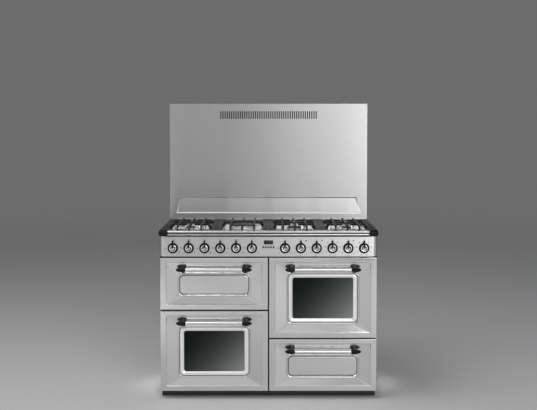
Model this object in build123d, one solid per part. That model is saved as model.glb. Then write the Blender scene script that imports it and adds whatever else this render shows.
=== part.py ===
from build123d import *

import math
import os
from dataclasses import dataclass

# A free-standing range cooker with a splashback, in millimetres. +X runs to the right of
# someone facing it, +Y from the doors to the wall and +Z up. The origin is on the floor under
# the middle of the whole box, handles included.

# Overall sizes
HOB_WIDTH = 1100.0           # across the corner caps
BODY_DEPTH = 600.0           # door face to the rear edge
HANDLE_REACH = 40.0          # front of a handle ahead of the door face
FLOOR_TO_DOORS = 40.0
TALL_DOOR = 407.0
SHORT_DOOR = 264.0
DOOR_GAP = 6.0               # between neighbouring fronts
PANEL_GAP = 7.0              # between the upper doors and the control panel
PANEL_HEIGHT = 100.0
RAIL_GAP = 5.0               # between the control panel and the hob rail
RAIL_HEIGHT = 25.0
SPLASH_HEIGHT = 640.0        # above the hob rim
SPLASH_DEPTH = 20.0

# Sheet metal and clearances
SHEET = 1.5
SKIN_SHEET = 1.2
RUN = 0.05                   # radial clearance of a turning pin or stem
SLIDE = 0.3                  # clearance of a sliding face
LOOSE = 0.5                  # clearance of a hole round a fixed piece

# Body
BODY_INSET = 6.0             # side panels stand in from the hob's ends
BASE_UNDER = 30.0            # underside of the base above the floor
BASE_WALL = 25.0
BASE_SHEET = 2.0
FRAME_SHEET = 3.0
SIDE_AHEAD = 7.0             # side panels ahead of the front frame
BACK_RECESS = 45.0           # back panel ahead of the rear edge
BACK_VENT = (60.0, 4.0)
BACK_VENT_PITCH = 12.0
BACK_VENT_ROWS = 8
PLINTH_SETBACK = 60.0
PLINTH_LIFT = 1.0
FOOT_RADIUS = 20.0
FOOT_THICK = 8.0
STUD_RADIUS = 6.0
STUD_ABOVE = 12.0            # stud above the base sheet
NUT_RADIUS = 11.0
NUT_THICK = 6.0
FOOT_IN_X = 70.0
FOOT_IN_Y = 75.0
SCREW_HEAD = (4.0, 2.5)
SCREW_SHANK = 2.0
SCREW_LENGTH = 4.5
SCREW_IN = 14.0
SCREWS = 4                   # along each upright edge

# Fronts: a flat rim, a bevel falling back to a dished floor and a bead round that floor
SKIN_DEPTH = 22.0
RIM_SIDE = 31.0
RIM_END = 25.0
FLOOR_SIDE = 86.0            # door edge to the dished floor
FLOOR_TOP = 75.0
FLOOR_BOTTOM = 67.0
DISH_DEPTH = 9.0
BEAD_WIDTH = 9.0
BEAD_HEIGHT = 4.0
BEAD_ROUND = 3.6
BEAD_CORNER = 24.0
WINDOW_MARGIN = 31.0         # bead edge to the glass
WINDOW_CORNER = 12.0
GLASS = 4.0
GLASS_LAP = 8.0
LINER_BACK = 38.0            # inner face of a door behind its outer face
LINER_INSET = 16.0
LINER_LIFT = 30.0
FLANGE_LAP = 6.0
SEAL_GAP = 3.0
SEAL_WIDTH = 9.0
SEAL_OUT = 6.0               # seal outside the cavity mouth

# Door hinges
HINGE_BACK = 12.0            # pin behind the door face
HINGE_UP = 14.0              # pin above the door's lower edge
HINGE_IN = 60.0              # hinge in from the door's side
PIN_RADIUS = 3.0
BRACKET_HALF = 6.0
BRACKET_ROUND = 5.0
LUG = 3.0
LUG_GAP = 1.0
LUG_ROUND = 6.0
NOTCH_CLEAR = 1.0

# Handles
HANDLE_LENGTH = 381.0
HANDLE_END = 49.0
HANDLE_DROP = 57.5           # bar below the door's upper edge
BAR_RADIUS = 8.5
END_RADIUS = 12.5
END_MOUTH = 9.5              # end's radius where the bar goes in
END_SHOULDER = 17.0
POST_RADIUS = 10.0
BASE_RADIUS = 14.0
BASE_LENGTH = 12.0

# Drawer
BOX_INSET = 46.0
BOX_LIFT = 26.0
BOX_HEIGHT = 170.0
BOX_DEPTH = 430.0
BOX_SHEET = 1.2
RUNNER = 9.0
RUNNER_SHEET = 2.0
RUNNER_UP = 24.0
SLIDE_SHEET = 2.0
LEDGE = 13.0

# Ovens
CAVITY_SIDE = 55.0           # door edge to the cavity wall
CAVITY_LOW = 60.0
CAVITY_HIGH = 54.0
CAVITY_DEPTH = 410.0
RIB = (8.0, 4.0)
RIBS_TALL = (0.18, 0.42, 0.66)
RIBS_SHORT = (0.2,)
RIB_FRONT = 30.0
ELEMENT_RADIUS = 3.2
ELEMENT_DROP = 22.0
ELEMENT_IN = 55.0
ELEMENT_FRONT = 70.0
ELEMENT_BEND = 18.0
ELEMENT_LOOPS = 5
TERMINAL_OUT = 14.0
FAN_RADIUS = 66.0
FAN_SHEET = 1.2
FAN_BLADES = 10
BLADE = (24.0, 18.0)
FAN_OFF_WALL = 8.0
FAN_HUB = (9.0, 16.0)
SHAFT_RADIUS = 4.0
MOTOR_RADIUS = 34.0
MOTOR_LENGTH = 42.0
SHAFT_IN = 29.4              # shaft inside the motor
SHAFT_BORE = 33.6
COVER_SIDE = 190.0
COVER_DEPTH = 40.0
COVER_SHEET = 1.0
COVER_HOLE = 5.0
COVER_HOLE_RINGS = ((0.0, 1), (18.0, 8), (34.0, 14))
COVER_SLOT = (8.0, 60.0)
RACK_ROD = 3.0
RACK_WIRE = 1.6
RACK_WIRES = 15
RACK_SIDE = 3.0              # rack edge to the cavity wall
RACK_DEPTH = 340.0
PAN_HEIGHT = 32.0
PAN_SHEET = 1.2

# Control panel, knobs and buttons
PANEL_INSET = 2.0            # panel end inside the hob's end
PANEL_AHEAD = 6.0            # panel face ahead of the door face
PANEL_CORNER = 26.0
PANEL_SHEET = 1.5
KNOB_FIRST = 83.0            # first knob either side of the middle
KNOB_END = 69.0              # last knob to the panel's end
KNOBS_A_SIDE = 6
KNOB_DROP = 8.0              # knob centre below the panel's middle
KNOB_GAP = 0.6
SKIRT_RADIUS = 26.5
SKIRT_HEIGHT = 8.0
DIAL_RADIUS = 20.5
DIAL_HEIGHT = 16.0
DIAL_ROUND = 2.0
BOSS_RADIUS = 10.5
BOSS_HEIGHT = 25.0
BOSS_ROUND = 4.0
POINTER_WIDTH = 8.0
POINTER_TIP = 39.0
POINTER_HEIGHT = 21.0
STEM_RADIUS = 4.0
STEM_IN = 14.0               # stem inside the knob
STEM_HOLE = 7.0
STEM_BACK = 34.0             # stem behind the panel face
TAP = (26.0, 34.0)           # width and length of a tap body
TAP_AHEAD = 14.0             # tap front behind the panel face
TAP_TOP = 9.0
MANIFOLD_RADIUS = 9.0
MANIFOLD_DROP = 24.0
MANIFOLD_END = 26.0
TUBE_RADIUS = 3.0
TUBE_BEND = 6.0
TUBE_LOW_DROP = 34.0         # lower feed tubes below the well
TUBE_HIGH_DROP = 26.0
SWITCH = (44.0, 30.0, 44.0)
INLET_RADIUS = 10.48
INLET_LENGTH = 28.0
INLET_NUT = (15.0, 8.0)
GLAND_RADIUS = 8.0
GLAND_OUTER = 13.0
GLAND_LENGTH = 18.0
GLAND_IN = 52.0              # gland in from the side panel
GLAND_UP = 104.0             # gland above the base
DISPLAY = (46.0, 20.0)
DISPLAY_UP = 21.0            # display centre above the panel's middle
DISPLAY_CORNER = 1.5
PROGRAMMER = (80.0, 62.0, 18.0)
PROGRAMMER_UP = 6.0
BUTTON_RADIUS = 3.2
BUTTON_PITCH = 12.8
BUTTON_UP = -4.0
BUTTON_OUT = 3.0
BUTTON_LENGTH = 9.0
BUTTON_COLLAR = (4.4, 1.2)
BUTTON_TRAVEL = 1.5
BUTTONS = 5

# Hob
RAIL_BACK = 4.0              # rail's rear face behind the door face
RAIL_REACH = 24.0
CAP_LENGTH = 44.0
CAP_ROUND = 10.0
CAP_PROUD = 3.0
CAP_RETURN = 34.0
HOB_INSET = 3.0              # hob sheet inside the corner caps
HOB_SKIRT = 24.0
LEDGE_DROP = 6.0             # splashback's foot below the hob skirt
HOB_RIM = 12.0
WELL_DEPTH = 14.0
WELL_CORNER = 3.0
BURNER_FRONT = 165.0         # burner centres behind the door face
BURNER_REAR = 385.0
BURNER_WOK = 275.0
BURNER_SMALL = 26.0
BURNER_MEDIUM = 36.0
BURNER_LARGE = 48.0
BURNER_GIANT = 64.0
CUP_DEPTH = 16.0
CUP_IN = 8.0                 # cup smaller than the crown
FLANGE_OUT = 5.0
FLANGE_THICK = 3.0
CROWN_TOP = 12.0
CAP_THICK = 6.0
CAP_EDGE = 3.0
CAP_IN = 2.0
WOK_CENTRE = 22.0
WOK_RING_IN = 34.0
IGNITER_RADIUS = 3.0
IGNITER_HEIGHT = 12.0
IGNITER_GAP = 4.0
SUPPORTS = 4
SUPPORT_GAP = 2.0
SUPPORT_FRAME = 10.0
SUPPORT_SIDE = 28.0
SUPPORT_FRONT = 40.0
SUPPORT_REAR = 96.0
SUPPORT_DROP = 2.0           # frame top below the hob rim
FINGER_RISE = 20.0           # finger top above the frame
FINGER_DEEP = 10.0
FINGER_WIDE = 9.0
FINGER_RAMP = 16.0
FINGER_TIP = 20.0            # finger end to a burner's centre
WOK_FINGER_TIP = 40.0
LONG_BAR = 60.0              # long bars either side of the middle
SUPPORT_LEG = 16.0
LEG_CLEAR = 6.0              # leg in from the frame's corner

# Splashback
VENT_SLOT = (6.0, 42.0)
VENT_PITCH = 12.0
VENT_SLOTS = 45
VENT_DROP = 62.0             # slot centre below the upper edge
PLATE_TOP = 978.0
PLATE_BOTTOM = 1025.0
PLATE_HEIGHT = 92.0
PLATE_UP = 32.0              # plate above the hob rim
PLATE_PRESS = 3.0
SPLASH_FLANGE = 26.0
WALL_HOLE = 3.2
WALL_HOLES = 900.0

# Derived places
BODY_WIDTH = HOB_WIDTH - 2 * BODY_INSET
X_WALL = BODY_WIDTH / 2 - SHEET
DOOR_WIDTH = (BODY_WIDTH - DOOR_GAP) / 2
X_COLUMN = (DOOR_WIDTH + DOOR_GAP) / 2
Y_FACE = HANDLE_REACH / 2 - BODY_DEPTH / 2
Y_REAR = Y_FACE + BODY_DEPTH
Y_FRAME = Y_FACE + LINER_BACK + SEAL_GAP
Y_INSIDE = Y_FRAME + FRAME_SHEET
Y_BACK = Y_REAR - BACK_RECESS
Y_SIDE = Y_FRAME - SIDE_AHEAD
Y_SPLASH = Y_REAR - SPLASH_DEPTH
Y_PANEL = Y_FACE - PANEL_AHEAD
Y_HOB = Y_FACE + RAIL_BACK
Z_UPPER = FLOOR_TO_DOORS + TALL_DOOR + DOOR_GAP
Z_DOOR_TOP = Z_UPPER + SHORT_DOOR
Z_PANEL = Z_DOOR_TOP + PANEL_GAP
Z_PANEL_MID = Z_PANEL + PANEL_HEIGHT / 2
Z_RAIL = Z_PANEL + PANEL_HEIGHT + RAIL_GAP
Z_HOB = Z_RAIL + RAIL_HEIGHT
Z_WELL = Z_HOB - WELL_DEPTH
Z_SKIRT = Z_HOB - HOB_SKIRT
Z_LEDGE = Z_SKIRT - LEDGE_DROP
Z_KNOB = Z_PANEL_MID - KNOB_DROP
Z_BASE = BASE_UNDER + BASE_SHEET
Z_SUPPORT = Z_HOB - SUPPORT_DROP
X_HOB = HOB_WIDTH / 2 - HOB_INSET
X_WELL = X_HOB - HOB_RIM
X_PANEL = HOB_WIDTH / 2 - PANEL_INSET
Y_WELL = Y_HOB + HOB_RIM
Y_WELL_REAR = Y_SPLASH - HOB_RIM
KNOB_PITCH = (X_PANEL - KNOB_END - KNOB_FIRST) / (KNOBS_A_SIDE - 1)
SUPPORT_PITCH = 2 * X_WELL / SUPPORTS
TAP_FRONT = Y_PANEL + TAP_AHEAD
Y_MANIFOLD = TAP_FRONT + TAP[1] / 2
Z_MANIFOLD = Z_KNOB - MANIFOLD_DROP
CUP_UNDER = Z_WELL - SHEET - CUP_DEPTH
TUBE_LOW = Z_WELL - TUBE_LOW_DROP
TUBE_HIGH = Z_WELL - TUBE_HIGH_DROP


@dataclass
class Front:
    """One of the four fronts: its column (-1 left, 1 right), lower edge and height."""

    side: int
    bottom: float
    height: float

    @property
    def x(self):
        return self.side * X_COLUMN

    @property
    def z(self):
        return self.bottom + self.height / 2

    @property
    def top(self):
        return self.bottom + self.height

    @property
    def floor_size(self):
        """Width and height of the dished floor."""
        return DOOR_WIDTH - 2 * FLOOR_SIDE, self.height - FLOOR_TOP - FLOOR_BOTTOM

    @property
    def floor_z(self):
        return self.bottom + FLOOR_BOTTOM + self.floor_size[1] / 2

    @property
    def cavity_size(self):
        return DOOR_WIDTH - 2 * CAVITY_SIDE, self.height - CAVITY_LOW - CAVITY_HIGH

    @property
    def cavity_z(self):
        return self.bottom + CAVITY_LOW + self.cavity_size[1] / 2

    @property
    def hinge_places(self):
        reach = DOOR_WIDTH / 2 - HINGE_IN
        return [self.x - reach, self.x + reach]


GRILL = Front(-1, Z_UPPER, SHORT_DOOR)
MAIN = Front(-1, FLOOR_TO_DOORS, TALL_DOOR)
SECOND = Front(1, FLOOR_TO_DOORS + SHORT_DOOR + DOOR_GAP, TALL_DOOR)
DRAWER = Front(1, FLOOR_TO_DOORS, SHORT_DOOR)

# Burners: support column, distance behind the door face, crown radius, feed tube level
BURNERS = [
    (0, BURNER_REAR, BURNER_MEDIUM, TUBE_HIGH),
    (0, BURNER_FRONT, BURNER_SMALL, TUBE_LOW),
    (1, BURNER_WOK, BURNER_GIANT, TUBE_LOW),
    (2, BURNER_REAR, BURNER_MEDIUM, TUBE_HIGH),
    (2, BURNER_FRONT, BURNER_MEDIUM, TUBE_LOW),
    (3, BURNER_REAR, BURNER_LARGE, TUBE_HIGH),
    (3, BURNER_FRONT, BURNER_SMALL, TUBE_LOW),
]


def support_x(column):
    """Middle of a pan support."""
    return SUPPORT_PITCH * (column - (SUPPORTS - 1) / 2)


def knob_places():
    """X of the twelve knobs from left to right."""
    right = [KNOB_FIRST + KNOB_PITCH * i for i in range(KNOBS_A_SIDE)]
    return [-x for x in reversed(right)] + right


def button_places():
    """X of the programmer buttons from left to right."""
    return [BUTTON_PITCH * (i - (BUTTONS - 1) / 2) for i in range(BUTTONS)]


def block(x0, x1, y0, y1, z0, z1):
    """A block between two corners."""
    return Pos((x0 + x1) / 2, (y0 + y1) / 2, (z0 + z1) / 2) * Box(x1 - x0, y1 - y0, z1 - z0)


def upright(y):
    """The upright plane at y that faces the front."""
    return Plane(origin=(0, y, 0), x_dir=(1, 0, 0), z_dir=(0, -1, 0))


def slab(x, z, size, y0, y1, corner=0.0):
    """An upright slab from y0 back to y1, centred on x and z."""
    outline = RectangleRounded(*size, corner) if corner else Rectangle(*size)
    return extrude(upright(y1) * Pos(x, z) * outline, amount=y1 - y0)


def grown(size, by):
    """A width and height grown by the same amount on every side."""
    return size[0] + 2 * by, size[1] + 2 * by


def rod_x(x0, x1, y, z, radius):
    """A round bar along X."""
    return Pos((x0 + x1) / 2, y, z) * Rot(0, 90, 0) * Cylinder(radius, x1 - x0)


def rod_y(x, y0, y1, z, radius):
    """A round bar along Y."""
    return Pos(x, (y0 + y1) / 2, z) * Rot(90, 0, 0) * Cylinder(radius, y1 - y0)


def rod_z(x, y, z0, z1, radius):
    """A round bar along Z."""
    return Pos(x, y, (z0 + z1) / 2) * Cylinder(radius, z1 - z0)


def tube_along(points, radius, bend):
    """A round rod that follows straight runs with bent corners."""
    path = FilletPolyline(*points, radius=bend)
    return sweep(Plane(origin=path @ 0, z_dir=path % 0) * Circle(radius), path=path)


def dish(front, grow=0.0):
    """The tapering hollow pressed into a front, grown by the sheet for its inner face."""
    width, height = DOOR_WIDTH - 2 * RIM_SIDE, front.height - 2 * RIM_END
    mouth = upright(Y_FACE) * Pos(front.x, front.z) * Rectangle(*grown((width, height), grow))
    floor = upright(Y_FACE + DISH_DEPTH + grow) * Pos(front.x, front.floor_z)
    return loft([mouth, floor * Rectangle(*grown(front.floor_size, grow))], ruled=True)


def front_form(front):
    """A front as a full block with its pressed face."""
    whole = slab(front.x, front.z, (DOOR_WIDTH, front.height), Y_FACE, Y_FACE + SKIN_DEPTH)
    return whole - dish(front)


def front_bead(front):
    """The rounded bead round the dished floor."""
    y = Y_FACE + DISH_DEPTH
    size = front.floor_size
    ring = slab(front.x, front.floor_z, size, y - BEAD_HEIGHT, y, BEAD_CORNER)
    ring -= slab(front.x, front.floor_z, grown(size, -BEAD_WIDTH), y - BEAD_HEIGHT, y,
                 BEAD_CORNER - BEAD_WIDTH)
    return fillet(ring.edges().group_by(Axis.Y)[0], BEAD_ROUND)


def window_size(front):
    """Width and height of the clear window."""
    return grown(front.floor_size, -WINDOW_MARGIN)


def front_skin(front, window=False, hinged=True):
    """The pressed steel outer skin of one front."""
    size = (DOOR_WIDTH, front.height)
    y_back = Y_FACE + SKIN_DEPTH
    hollow = slab(front.x, front.z, grown(size, -SKIN_SHEET), Y_FACE + SKIN_SHEET,
                  y_back - SKIN_SHEET)
    skin = front_form(front) - (hollow - dish(front, SKIN_SHEET)) + front_bead(front)
    lap = LINER_INSET + FLANGE_LAP
    low = LINER_LIFT + FLANGE_LAP
    skin -= block(front.x - DOOR_WIDTH / 2 + lap, front.x + DOOR_WIDTH / 2 - lap,
                  y_back - SKIN_SHEET, y_back, front.bottom + low, front.top - lap)
    if window:
        skin -= slab(front.x, front.floor_z, window_size(front), Y_FACE, y_back, WINDOW_CORNER)
    if hinged:
        half = BRACKET_HALF + LUG_GAP + LUG + NOTCH_CLEAR
        y_notch = Y_FACE + HINGE_BACK - LUG_ROUND - NOTCH_CLEAR
        for x in front.hinge_places:
            skin -= block(x - half, x + half, y_notch, y_back, front.bottom, front.bottom + low)
    return skin


def door_liner(front, window=False):
    """The inner tray of a door, with its hinge lugs."""
    y0, y1 = Y_FACE + SKIN_DEPTH, Y_FACE + LINER_BACK
    x0, x1 = front.x - DOOR_WIDTH / 2 + LINER_INSET, front.x + DOOR_WIDTH / 2 - LINER_INSET
    z0, z1 = front.bottom + LINER_LIFT, front.top - LINER_INSET
    liner = block(x0, x1, y0, y1, z0, z1)
    liner -= block(x0 + SKIN_SHEET, x1 - SKIN_SHEET, y0, y1 - SKIN_SHEET,
                   z0 + SKIN_SHEET, z1 - SKIN_SHEET)
    if window:
        liner -= slab(front.x, front.floor_z, window_size(front), y0, y1, WINDOW_CORNER)
    y_pin, z_pin = Y_FACE + HINGE_BACK, front.bottom + HINGE_UP
    arm = Polygon((y_pin - LUG_ROUND, z_pin), (y_pin, z_pin - LUG_ROUND),
                  (y_pin + LUG_ROUND, z_pin), (y1 - SKIN_SHEET, z0),
                  (y1 - SKIN_SHEET, z0 + LINER_INSET), (y0, z0 + LINER_INSET), align=None)
    pin = Pos(y_pin, z_pin)
    outline = arm + pin * Circle(LUG_ROUND) - pin * Circle(PIN_RADIUS + RUN)
    for x in front.hinge_places:
        out = BRACKET_HALF + LUG_GAP + LUG / 2
        for middle in (x - out, x + out):
            liner += extrude(Plane.YZ * Pos(0, 0, middle) * outline, amount=LUG / 2, both=True)
    return liner


def door_glass(front):
    """The outer and inner panes of a windowed door."""
    size = grown(window_size(front), GLASS_LAP)
    corner = WINDOW_CORNER + GLASS_LAP
    y_outer = Y_FACE + DISH_DEPTH + SKIN_SHEET
    y_inner = Y_FACE + LINER_BACK - SKIN_SHEET - GLASS
    return [slab(front.x, front.floor_z, size, y, y + GLASS, corner) for y in (y_outer, y_inner)]


def handle(front):
    """A steel bar between two black ends that stand on the bevel."""
    y = Y_FACE - HANDLE_REACH + END_RADIUS
    z = front.top - HANDLE_DROP
    half = HANDLE_LENGTH / 2
    bar_half = half - HANDLE_END
    profile = make_face(Polyline((0, 0), (0, END_MOUTH), (END_SHOULDER, END_RADIUS))
                        + EllipticalCenterArc((END_SHOULDER, 0), HANDLE_END - END_SHOULDER,
                                              END_RADIUS, arc_size=90)
                        + Line((HANDLE_END, 0), (0, 0)))
    bullet = revolve(profile, Axis.X)
    y_base = Y_FACE + DISH_DEPTH
    post = rod_y(END_SHOULDER, 0, y_base - y, 0, POST_RADIUS)
    foot = Pos(END_SHOULDER, y_base - y - BASE_LENGTH, 0) * Rot(-90, 0, 0) * Cone(
        POST_RADIUS, BASE_RADIUS, BASE_LENGTH, align=(Align.CENTER, Align.CENTER, Align.MIN))
    end = bullet + post + foot
    form = front_form(front)
    right = Pos(front.x + bar_half, y, z) * end - form
    left = Pos(front.x - bar_half, y, z) * mirror(end, Plane.YZ) - form
    return [rod_x(front.x - bar_half, front.x + bar_half, y, z, BAR_RADIUS), left, right]


def hinge_brackets():
    """Brackets on the front frame, each with the pin that its door turns on."""
    made = []
    for front in (GRILL, MAIN, SECOND):
        y, z = Y_FACE + HINGE_BACK, front.bottom + HINGE_UP
        pin_half = BRACKET_HALF + LUG_GAP + LUG
        for x in front.hinge_places:
            arm = block(x - BRACKET_HALF, x + BRACKET_HALF, y, Y_FRAME, z - BRACKET_ROUND,
                        z + BRACKET_ROUND)
            knuckle = rod_x(x - BRACKET_HALF, x + BRACKET_HALF, y, z, BRACKET_ROUND)
            made.append(arm + knuckle + rod_x(x - pin_half, x + pin_half, y, z, PIN_RADIUS))
    return made


def drawer_box_span():
    """X range and lower edge of the drawer's box."""
    half = DOOR_WIDTH / 2 - BOX_INSET
    return DRAWER.x - half, DRAWER.x + half, DRAWER.bottom + BOX_LIFT


def drawer_box():
    """The drawer's open box with a runner along each side."""
    x0, x1, z0 = drawer_box_span()
    y0, y1 = Y_FACE + SKIN_DEPTH, Y_FACE + SKIN_DEPTH + BOX_DEPTH
    box = block(x0, x1, y0, y1, z0, z0 + BOX_HEIGHT)
    box -= block(x0 + BOX_SHEET, x1 - BOX_SHEET, y0 + BOX_SHEET, y1 - BOX_SHEET,
                 z0 + BOX_SHEET, z0 + BOX_HEIGHT)
    z_run = z0 + RUNNER_UP
    for a, b in ((x0 - RUNNER, x0 + BOX_SHEET), (x1 - BOX_SHEET, x1 + RUNNER)):
        box += block(a, b, y0, y1, z_run, z_run + RUNNER_SHEET)
    half = DOOR_WIDTH / 2 - LINER_INSET
    return box + block(DRAWER.x - half, DRAWER.x + half, y0, y0 + BOX_SHEET,
                       DRAWER.bottom + LINER_LIFT, DRAWER.top - LINER_INSET)


def drawer_slides():
    """Two angle rails that stand on the base and carry the drawer's runners."""
    x0, x1, z0 = drawer_box_span()
    y0 = Y_INSIDE + BASE_SHEET
    y1 = Y_INSIDE + BOX_DEPTH
    top = z0 + RUNNER_UP - SLIDE
    made = []
    for out, inner in ((x0 - LEDGE, x0 - SLIDE), (x1 + LEDGE, x1 + SLIDE)):
        way = math.copysign(SLIDE_SHEET, out - inner)
        web = block(*sorted((out, out + way)), y0, y1, Z_BASE, top)
        made.append(web + block(*sorted((out + way, inner)), y0, y1, top - SLIDE_SHEET, top))
    return made


def front_frame():
    """The sheet that ties the sides together and holds the cavities' mouths."""
    frame = block(-X_WALL, X_WALL, Y_FRAME, Y_INSIDE, BASE_UNDER, Z_PANEL)
    for front in (GRILL, MAIN, SECOND):
        frame -= slab(front.x, front.cavity_z, front.cavity_size, Y_FRAME, Y_INSIDE)
    x0, x1, z0 = drawer_box_span()
    bay = LEDGE - SLIDE
    return frame - block(x0 - bay, x1 + bay, Y_FRAME, Y_INSIDE, BASE_UNDER + BASE_WALL,
                         z0 + BOX_HEIGHT + LEDGE)


def base_frame():
    """The folded tray that the body stands on, with holes for the feet."""
    y1 = Y_BACK - SHEET
    tray = block(-X_WALL, X_WALL, Y_INSIDE, y1, BASE_UNDER, BASE_UNDER + BASE_WALL)
    x_in = X_WALL - BASE_SHEET
    tray -= block(-x_in, x_in, Y_INSIDE + BASE_SHEET, y1 - BASE_SHEET, Z_BASE,
                  BASE_UNDER + BASE_WALL)
    for x, y in foot_places():
        tray -= rod_z(x, y, BASE_UNDER, Z_BASE, STUD_RADIUS)
    return tray


def foot_places():
    """Middles of the four feet."""
    x = BODY_WIDTH / 2 - FOOT_IN_X
    ys = (Y_FACE + PLINTH_SETBACK + FOOT_IN_Y, Y_REAR - FOOT_IN_Y - BACK_RECESS)
    return [(sx * x, y) for y in ys for sx in (-1, 1)]


def levelling_feet():
    """Four feet with studs, each locked by a nut under the base."""
    made = []
    for x, y in foot_places():
        made.append(rod_z(x, y, 0, FOOT_THICK, FOOT_RADIUS)
                    + rod_z(x, y, FOOT_THICK, Z_BASE + STUD_ABOVE, STUD_RADIUS))
        hexagon = Pos(x, y, BASE_UNDER - NUT_THICK) * RegularPolygon(NUT_RADIUS, 6)
        nut = extrude(hexagon, amount=NUT_THICK)
        made.append(nut - rod_z(x, y, BASE_UNDER - NUT_THICK, BASE_UNDER, STUD_RADIUS))
    return made


def side_panels():
    """The two outer sides, whose upper edges carry the hob."""
    made = []
    for inner, outer in ((X_WALL, X_WALL + SHEET), (-X_WALL - SHEET, -X_WALL)):
        made.append(block(inner, outer, Y_SIDE, Y_REAR, BASE_UNDER, Z_LEDGE)
                    + block(inner, outer, Y_SIDE, Y_SPLASH - 2 * SHEET, Z_LEDGE, Z_HOB - SHEET))
    return made


def screw_places():
    """Screws along the two upright edges of the back panel."""
    x = X_WALL - SCREW_IN
    low = BASE_UNDER + 2 * BASE_WALL
    span = Z_LEDGE - BASE_WALL - low
    return [(sx * x, low + span * i / (SCREWS - 1)) for sx in (-1, 1) for i in range(SCREWS)]


def inlet_place():
    """X of the gas inlet and its pipe along the left side."""
    return -X_WALL + INLET_NUT[0] + 2 * TUBE_RADIUS


def gland_place():
    """X and Z of the mains cable gland."""
    return X_WALL - GLAND_IN, BASE_UNDER + GLAND_UP


def back_panel():
    """The rear sheet, with vents and a top flange under the splashback."""
    back = block(-X_WALL, X_WALL, Y_BACK - SHEET, Y_BACK, BASE_UNDER, Z_LEDGE)
    back += block(-X_WALL, X_WALL, Y_BACK - SHEET, Y_REAR, Z_LEDGE - SHEET, Z_LEDGE)
    back -= rod_y(inlet_place(), Y_BACK - SHEET, Y_BACK, Z_MANIFOLD, MANIFOLD_RADIUS + LOOSE)
    x, z = gland_place()
    back -= rod_y(x, Y_BACK - SHEET, Y_BACK, z, GLAND_RADIUS + LOOSE)
    for x, z in screw_places():
        back -= rod_y(x, Y_BACK - SHEET, Y_BACK, z, SCREW_SHANK + RUN)
    vents = []
    for side in (-1, 1):
        for row in range(BACK_VENT_ROWS):
            z = Z_PANEL - row * BACK_VENT_PITCH
            vents.append(slab(side * X_COLUMN, z, BACK_VENT, Y_BACK - SHEET, Y_BACK))
    return back - vents


def fasteners():
    """Pan-head screws that hold the back panel."""
    head, thick = SCREW_HEAD
    return [rod_y(x, Y_BACK, Y_BACK + thick, z, head)
            + rod_y(x, Y_BACK - SCREW_LENGTH, Y_BACK, z, SCREW_SHANK) for x, z in screw_places()]


def cable_gland():
    """A ring at the back where the mains cable goes in."""
    x, z = gland_place()
    ring = rod_y(x, Y_BACK, Y_BACK + GLAND_LENGTH, z, GLAND_OUTER)
    ring += rod_y(x, Y_BACK - GLAND_LENGTH / 2, Y_BACK, z, GLAND_RADIUS + LOOSE - RUN)
    return ring - rod_y(x, Y_BACK - GLAND_LENGTH, Y_BACK + GLAND_LENGTH, z, GLAND_RADIUS - SHEET)


def plinth():
    """The set-back black board that hangs under the base."""
    x = X_WALL
    y = Y_FACE + PLINTH_SETBACK
    board = block(-x, x, y, y + SHEET, PLINTH_LIFT, BASE_UNDER)
    return board + block(-x, x, y, y + 2 * FOOT_RADIUS, BASE_UNDER - SHEET, BASE_UNDER)


def cavity(front, ribs, fan):
    """One enamelled oven box, open to the front, with shelf ribs."""
    width, height = front.cavity_size
    y1 = Y_INSIDE + CAVITY_DEPTH
    box = slab(front.x, front.cavity_z, grown((width, height), SHEET), Y_INSIDE, y1 + SHEET)
    box -= slab(front.x, front.cavity_z, (width, height), Y_INSIDE, y1)
    low = front.cavity_z - height / 2
    for share in ribs:
        z = low + share * height
        for side in (-1, 1):
            a, b = sorted((side * (width / 2 + SHEET / 2), side * (width / 2 - RIB[0])))
            box += block(front.x + a, front.x + b, Y_INSIDE + RIB_FRONT, y1 + SHEET / 2,
                         z - RIB[1], z)
    if fan:
        box -= rod_y(front.x, y1, y1 + SHEET, front.cavity_z, SHAFT_RADIUS + LOOSE)
    for x, z in terminal_places(front):
        box -= rod_y(x, y1, y1 + SHEET, z, ELEMENT_RADIUS + RUN)
    return box


def fan_cover(front):
    """The perforated cover over an oven fan."""
    y1 = Y_INSIDE + CAVITY_DEPTH
    y0 = y1 - COVER_DEPTH
    size = (COVER_SIDE, COVER_SIDE)
    cover = slab(front.x, front.cavity_z, size, y0, y1)
    cover -= slab(front.x, front.cavity_z, grown(size, -COVER_SHEET), y0 + COVER_SHEET, y1)
    holes = []
    for radius, count in COVER_HOLE_RINGS:
        for i in range(count):
            turn = 2 * math.pi * i / count
            holes.append(rod_y(front.x + radius * math.cos(turn), y0, y0 + COVER_SHEET,
                               front.cavity_z + radius * math.sin(turn), COVER_HOLE))
    for side in (-1, 1):
        x = front.x + side * COVER_SIDE / 2
        wide, half = COVER_SLOT
        holes.append(block(x - COVER_SHEET, x + COVER_SHEET, y0 + wide, y0 + 2 * wide,
                           front.cavity_z - half, front.cavity_z + half))
    return cover - holes


def terminal_places(front):
    """Where a roof element's two ends leave the cavity's rear wall."""
    width, height = front.cavity_size
    z = front.cavity_z + height / 2 - ELEMENT_DROP
    reach = width / 2 - ELEMENT_IN
    return [(front.x - reach, z), (front.x + reach, z)]


def roof_element(front):
    """A rod element that runs back and forth under a cavity's roof."""
    (x0, z), (x1, z) = terminal_places(front)
    y_front = Y_INSIDE + ELEMENT_FRONT
    y_wall = Y_INSIDE + CAVITY_DEPTH
    y_turn = y_wall - ELEMENT_FRONT
    points = [(x0, y_wall + TERMINAL_OUT, z)]
    for i in range(ELEMENT_LOOPS):
        x = x0 + (x1 - x0) * i / ELEMENT_LOOPS
        after = x0 + (x1 - x0) * (i + 1) / ELEMENT_LOOPS
        y = y_front if i % 2 == 0 else y_turn
        points += [(x, y, z), (after, y, z)]
    points.append((x1, y_wall + TERMINAL_OUT, z))
    return tube_along(points, ELEMENT_RADIUS, ELEMENT_BEND)


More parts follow.
